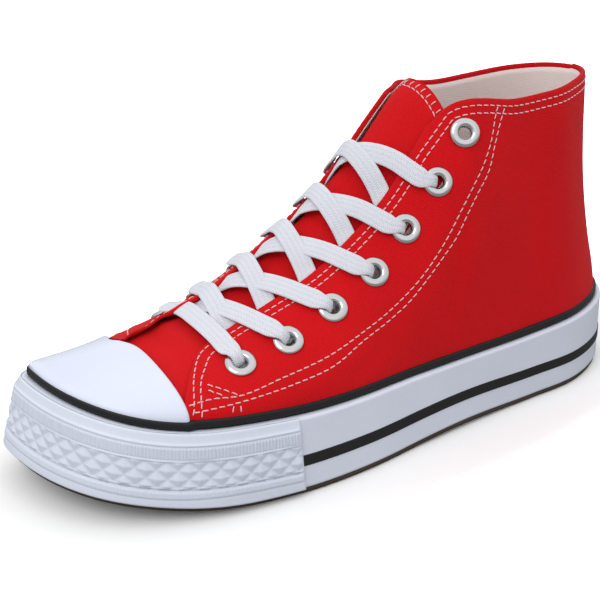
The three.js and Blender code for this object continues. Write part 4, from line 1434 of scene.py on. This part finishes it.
    def build(self) -> None:
        """The bar, and two crossing strips at each pair above it, the medial-bound one on top."""
        places = {name: (centre, out) for name, centre, out in eyelet_places()}
        self.bar(places["eyelet_medial_1"], places["eyelet_lateral_1"], "lace_bar_1")
        for k in range(2, 7):
            for near, far, edge_x, lift in zip((Side.MEDIAL, Side.LATERAL),
                                               (Side.LATERAL, Side.MEDIAL),
                                               LACE_STARTS[k - 2][::-1], (0.0, 1.35)):
                low = places[f"eyelet_{near.name.lower()}_{k - 1}"]
                high = places[f"eyelet_{far.name.lower()}_{k}"]
                nodes = (f"lace_cross_{k}",) if lift else ()
                self.strand(f"lace_{near.name.lower()}_to_{k}", low, high, near, edge_x, lift,
                            *nodes)


# ---------------------------------------------------------------- stitching

@dataclass
class Stitching:
    """Rows of lock stitch in white cotton thread, each stitch a short round-ended thread."""

    pitch: float = 3.1
    length: float = 2.7
    thick: float = 0.46
    around: int = 8
    steps: int = 8
    corner: tuple[float, float] = (-31, -18)  # stretch of x, at the collar's corner, left out
    back: float = -91  # x behind which the rows keep their height under the rim
    window: int = 25  # points over which the direction away from the edge is averaged

    def row(self, line: Array, normals: Array) -> tuple[Array, Array, Array]:
        """Stitches along a line lying on the cloth.

        Args:
            line: Points on the cloth's face.
            normals: Outward direction at each.

        Returns:
            Points, faces and cloth coordinates of all stitches; each sinks in at both ends by a
            parabola and its section is a flattened circle.
        """
        walked = distances(line)
        count = max(1, int(walked[-1] / self.pitch))
        start = (walked[-1] - count * self.pitch) / 2 + (self.pitch - self.length) / 2
        u = np.linspace(-1, 1, self.steps)
        where = start + self.pitch * np.arange(count)[:, None] + self.length * (u + 1)[None] / 2
        path = np.stack([np.interp(where, walked, line[:, k]) for k in range(3)], -1)
        out = unit(np.stack([np.interp(where, walked, normals[:, k]) for k in range(3)], -1))
        run = unit(np.gradient(path, axis=1))
        across = np.cross(run, out)
        lean = 0.22 * self.thick * u[None, :, None]
        radius = self.thick / 2 * np.sqrt(np.clip(1 - u ** 4, 0.02, 1))
        lift = 0.16 - 0.5 * u ** 4
        phi = np.linspace(0, 2 * np.pi, self.around, endpoint=False)
        ring = (np.cos(phi)[None, None, :, None] * across[:, :, None]
                + 0.8 * np.sin(phi)[None, None, :, None] * out[:, :, None])
        centre = path + across * lean + out * lift[None, :, None]
        points = centre[:, :, None] + ring * radius[None, :, None, None]
        cell = quads(self.steps, self.around, wrap_columns=True)
        size = self.steps * self.around
        faces = (cell[None] + size * np.arange(count)[:, None, None]).reshape(-1, 4)
        marks = np.stack(np.broadcast_arrays(where[:, :, None], phi[None, None] / 4), -1)
        return points.reshape(-1, 3), faces, marks.reshape(-1, 2)

    def sew(self, name: str, rows: Sequence[tuple[Array, Array]]) -> bpy.types.Object:
        """One object of several rows."""
        points, faces, marks, base = [], [], [], 0
        for line, normals in rows:
            p, f, m = self.row(line, normals)
            points.append(p)
            faces.append(f + base)
            marks.append(m)
            base += len(p)
        size = self.around * self.steps
        starts = np.arange(base // size) * size
        caps = [list(range(s, s + self.around))[::-1] for s in starts] \
            + [list(range(s + size - self.around, s + size)) for s in starts]
        piece = make_mesh(name, np.concatenate(points), np.concatenate(faces),
                          np.concatenate(marks), caps)
        return dress(piece, finish(Finish.THREAD), "canvas")

    def on_cloth(self, places: Array, out: float = 0.25) -> tuple[Array, Array]:
        """Line on the quarters' face through places near it, with its normals."""
        turn, v = LAST.locate(resample(spline(places), 0.8))
        rim = np.where(v > 0, CLOTH.edge(turn, 1), -CLOTH.edge(turn, -1))
        below = np.abs(v) > rim + 0.004
        turn, v = turn[below], v[below]
        return CLOTH.face(turn, v, out), LAST.normal(turn, v)

    def mirrored(self, places: Array) -> Array:
        """The medial twin of a lateral line: the same turns, with `v` carried to the other side
        in step with the facing's edge."""
        turn, v = LAST.locate(np.asarray(places, float))
        x = LAST.x_of(turn)
        lateral, medial = (np.abs(LAST.v_of_y(turn, line(x))) for line in FACING)
        share = np.clip((v - lateral) / (1 - lateral), -0.2, 1.2)
        return LAST.skin(turn, -medial - (1 - medial) * share)

    def beside_edge(self, side: int, gap: tuple[float, float], start: float,
                    stop: float) -> tuple[Array, Array]:
        """Line beside the quarters' edge, up the facing, round the corner and along the collar.

        Args:
            side: 1 for the lateral side and -1 for the medial one.
            gap: Distance from the edge along the facing and along the collar.
            start: Front end.
            stop: Back end.

        Returns:
            Points on the cloth and its normals; places that the corner brings too near to
            another part of the edge are left out.
        """
        turn = np.linspace(*LAST.turn_of(np.array([start, stop])), 6000)
        line = LAST.skin(turn, CLOTH.edge(turn, side))
        behind, ahead = self.corner
        line = resample(line[(line[:, 0] < behind) | (line[:, 0] > ahead)], 0.6)
        turn, v = LAST.locate(line)
        out = LAST.normal(turn, v)
        run = unit(np.gradient(line, axis=0))
        inward = np.cross(run, out)
        inward *= np.sign((inward * (LAST.skin(turn, v + side * 0.02) - line)).sum(-1))[:, None]
        wide = gap[0] + (gap[1] - gap[0]) * ease((-20 - line[:, 0]) / 25)
        smooth = np.hanning(self.window) / np.hanning(self.window).sum()
        padded = np.pad(inward, ((self.window // 2,) * 2, (0, 0)), "edge")
        inward = unit(np.stack([np.convolve(padded[:, k], smooth, "valid") for k in range(3)], -1))
        spot = line + wide[:, None] * inward
        near = np.linalg.norm(spot[:, None] - line[None], axis=-1).min(1)
        keep = near > wide * 0.9
        keep &= np.einsum("ij,ij->i", np.gradient(spot, axis=0), np.gradient(line, axis=0)) > 0
        spot = spot[keep & (spot[:, 0] > self.back + 1)]
        back = LAST.turn_of(np.linspace(self.back, -0.497 * LAST.length, 90))
        rim = LAST.skin(back, CLOTH.edge(back, side))
        back, rim = back[rim[:, 0] < self.back], rim[rim[:, 0] < self.back]
        spot = np.concatenate([spot, LAST.skin(back, side * LAST.v_of_z(back, rim[:, 2] - gap[1]))])
        turn, v = LAST.locate(resample(spot, 0.8))
        return CLOTH.face(turn, v, 0.25), LAST.normal(turn, v)

    def overlock(self, vamp: Vamp) -> list[tuple[Array, Array]]:
        """Stitches over the tongue's top edge.

        Args:
            vamp: The sheet that the tongue belongs to.

        Returns:
            One short row over the edge every few millimetres, and a row along their feet.
        """
        share = np.linspace(-0.97, 0.97, 19)
        x = vamp.top + np.array([0.05, 1.1, 2.2, 3.3])
        turn = LAST.turn_of(x)
        low, high = vamp.spread(turn)

        def lay(w: Array) -> tuple[Array, Array]:
            """Points and normals over the edge at shares across the tongue, -1 to 1."""
            v = low[:, None] + (high - low)[:, None] * (w[None] + 1) / 2
            face = LAST.at(turn[:, None], v, vamp.sink(x[:, None], w[None]) + 0.15)
            return face, LAST.normal(np.broadcast_to(turn[:, None], v.shape), v)

        face, out = lay(share)
        foot, foot_out = lay(np.linspace(-0.97, 0.97, 120))
        return [(face[:, i], out[:, i]) for i in range(len(share))] + [(foot[-1], foot_out[-1])]

    def build(self) -> None:
        """Edge rows, the double seam behind the eyelets, and the bar-tack in front."""
        seam = (
            ((-54, 24.2, 129), (-52, 25, 126), (-50, 26, 122), (-47, 28, 114), (-41.5, 30.5, 104.5),
             (-34.5, 32.2, 95.5), (-28.5, 33, 87.5), (-23, 33.5, 80), (-15, 34, 71), (-7, 35, 64),
             (1, 35.5, 58.5), (11, 36.5, 53.5), (19.5, 37.5, 50.5), (38.5, 39, 44.5),
             (58.5, 39, 41), (77, 38.5, 38.5), (87.5, 36, 39), (96, 34.5, 38)),
            ((-57.5, 24.6, 128), (-56, 25, 125.5), (-53, 26.3, 121), (-48.5, 28.5, 112),
             (-43.5, 31, 101), (-37, 33, 93.5), (-32, 34, 87), (-25.5, 34.5, 77.5),
             (-19.5, 35, 72), (-9, 35.5, 62.5), (-1, 36.5, 56.5), (8, 37.5, 52), (22, 39, 47),
             (38, 41, 41), (54.5, 41.5, 38.5), (73, 40.5, 37), (87, 38.5, 36.5), (96, 36.5, 36)))
        front = (
            ((75, 15.5, 50), (79.5, 17, 48.5), (83, 19.5, 47), (86.5, 23.5, 45), (90.5, 29.5, 42),
             (93.5, 34, 38), (95.5, 37.5, 34.5)),
            ((75, 19.5, 49), (78.5, 20.5, 47.5), (82.5, 24, 45.5), (87, 29, 43), (89.5, 33, 40.5),
             (91.5, 36.5, 37), (92.5, 38.5, 33.5)),
            ((86.5, 30, 42.5), (82, 34.5, 41), (76.5, 38.5, 38.5)),
            ((87.5, 31.5, 41.5), (85, 34.5, 40.5), (81.5, 37, 39)),
            ((79.5, 39.5, 37.5), (81, 40.5, 35), (81.5, 41.5, 32.5)),
            ((77.5, 40, 37), (78, 41, 35), (78, 42, 32.5)))
        rows = [self.on_cloth(np.array(line)) for line in (*seam, *front)]
        rows += [self.on_cloth(self.mirrored(np.array(line))) for line in seam]
        for side in (1, -1):
            stop = 74 if side > 0 else 96
            rows += [self.beside_edge(side, gap, stop, -112) for gap in ((2.2, 1.7), (5.0, 4.7))]
        rows += self.overlock(Vamp())
        self.sew("seams", rows)


# ---------------------------------------------------------------- studio

@dataclass
class Studio:
    """White floor and soft light from the toe side, and the camera."""

    place: tuple[float, float, float] = (0.25478, 0.35240, 0.22769)
    target: tuple[float, float, float] = (0.02016, -0.00060, 0.05316)
    lens: float = 68.15
    sky: float = 0.72
    zenith: float = 1.1
    halo: tuple[float, float] = (0.17, 0.27)  # metres from the middle over which the glow sets in

    def aim(self, name: str, data: bpy.types.ID, place: Sequence[float],
            target: Sequence[float]) -> bpy.types.Object:
        """Object at a place, looking at a target."""
        piece = bpy.data.objects.new(name, data)
        piece.location = place
        look = Vector(target) - Vector(place)
        piece.rotation_euler = look.to_track_quat("-Z", "Y").to_euler()
        bpy.context.scene.collection.objects.link(piece)
        return piece

    def camera(self) -> None:
        """Camera at the viewer's place, upright."""
        data = bpy.data.cameras.new("camera")
        data.lens, data.sensor_width = self.lens, 36.0
        data.clip_start, data.clip_end = 0.01, 50.0
        bpy.context.scene.camera = self.aim("camera", data, self.place, self.target)

    def lamp(self, name: str, place: Sequence[float], target: Sequence[float], size: float,
             power: float) -> None:
        """One square soft box."""
        data = bpy.data.lights.new(name, "AREA")
        data.shape, data.size, data.energy = "SQUARE", size, power
        self.aim(name, data, place, target)

    def floor(self) -> None:
        """Large matt floor: the camera sees it white, glowing beyond an oval round the shoe,
        while it lights the shoe as a grey one would."""
        r = 40.0
        mesh = bpy.data.meshes.new("floor")
        mesh.from_pydata([(-r, -r, 0), (r, -r, 0), (r, r, 0), (-r, r, 0)], [], [(0, 1, 2, 3)])
        floor = bpy.data.objects.new("floor", mesh)
        bpy.context.scene.collection.objects.link(floor)
        material, bsdf = shader("paper_sweep", Roughness=0.9, Specular_IOR_Level=0.1,
                                Base_Color=linear("#ffffff"))
        place = add_node(material, "ShaderNodeTexCoord").outputs["Object"]
        grain = add_node(material, "ShaderNodeTexNoise", {"Vector": place, "Scale": 900.0})
        bump = add_node(material, "ShaderNodeBump", {"Height": grain.outputs["Fac"],
                                                     "Strength": 0.03, "Distance": 0.0002})
        link(material, bump.outputs[0], bsdf.inputs["Normal"])
        seen = add_node(material, "ShaderNodeLightPath").outputs["Is Camera Ray"]
        shade = add_node(material, "ShaderNodeMapRange", {"Value": seen, "To Min": 0.3,
                                                          "To Max": 1.0}).outputs[0]
        link(material, shade, bsdf.inputs["Base Color"])
        oval = add_node(material, "ShaderNodeVectorMath", {0: place, 1: (1.0, 2.4, 1.0)},
                        operation="MULTIPLY").outputs[0]
        near = add_node(material, "ShaderNodeVectorMath", {0: oval}, operation="LENGTH")
        lit = add_node(material, "ShaderNodeMapRange", {"Value": near.outputs["Value"],
                                                        "From Min": self.halo[0],
                                                        "From Max": self.halo[1],
                                                        "To Min": 0.0, "To Max": 1.0})
        glow = add_node(material, "ShaderNodeMath", {0: lit.outputs[0], 1: seen},
                        operation="MULTIPLY")
        bsdf.inputs["Emission Color"].default_value = (1, 1, 1, 1)
        link(material, glow.outputs[0], bsdf.inputs["Emission Strength"])
        mesh.materials.append(material)

    def build(self) -> None:
        """Camera, white surroundings, two soft boxes and the floor."""
        scene = bpy.context.scene
        world = bpy.data.worlds.new("surroundings")
        world.use_nodes = True
        back = world.node_tree.nodes["Background"]
        way = add_node(world, "ShaderNodeTexCoord").outputs["Generated"]
        up = add_node(world, "ShaderNodeSeparateXYZ", {0: way}).outputs["Z"]
        strength = add_node(world, "ShaderNodeMapRange", {"Value": up, "From Min": 0.0,
                                                          "From Max": 1.0, "To Min": self.sky,
                                                          "To Max": self.zenith})
        back.inputs["Color"].default_value = (1, 1, 1, 1)
        seen = add_node(world, "ShaderNodeLightPath").outputs["Is Camera Ray"]
        white = add_node(world, "ShaderNodeMath", {0: strength.outputs[0], 1: seen},
                         operation="MAXIMUM")
        link(world, white.outputs[0], back.inputs["Strength"])
        scene.world = world
        scene.view_settings.view_transform = "Standard"
        self.camera()
        self.lamp("key", (0.75, 0.30, 0.85), (0.03, 0, 0.05), 0.6, 2.6)
        self.lamp("fill", (0.35, 0.9, 0.5), (0, 0, 0.05), 0.8, 0.4)
        self.floor()


# ---------------------------------------------------------------- the shoe

@dataclass
class Sneaker:
    """The whole shoe, from the sole up."""

    parts: tuple[object, ...] = (Foxing(), Piping(), Bumper(), Outsole(), Insole(), ToeCap(),
                                 Quarters(), Lining(), Vamp(), Eyelet(), Lace(), Stitching())

    def build(self) -> None:
        """Builds every part in turn."""
        for part in self.parts:
            part.build()
            log.info("%s built", type(part).__name__)


def main() -> None:
    """Builds the shoe and its studio."""
    logging.basicConfig(level=logging.INFO, format="%(name)s: %(message)s")
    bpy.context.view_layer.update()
    Sneaker().build()
    Studio().build()


if __name__ == "__main__":
    main()
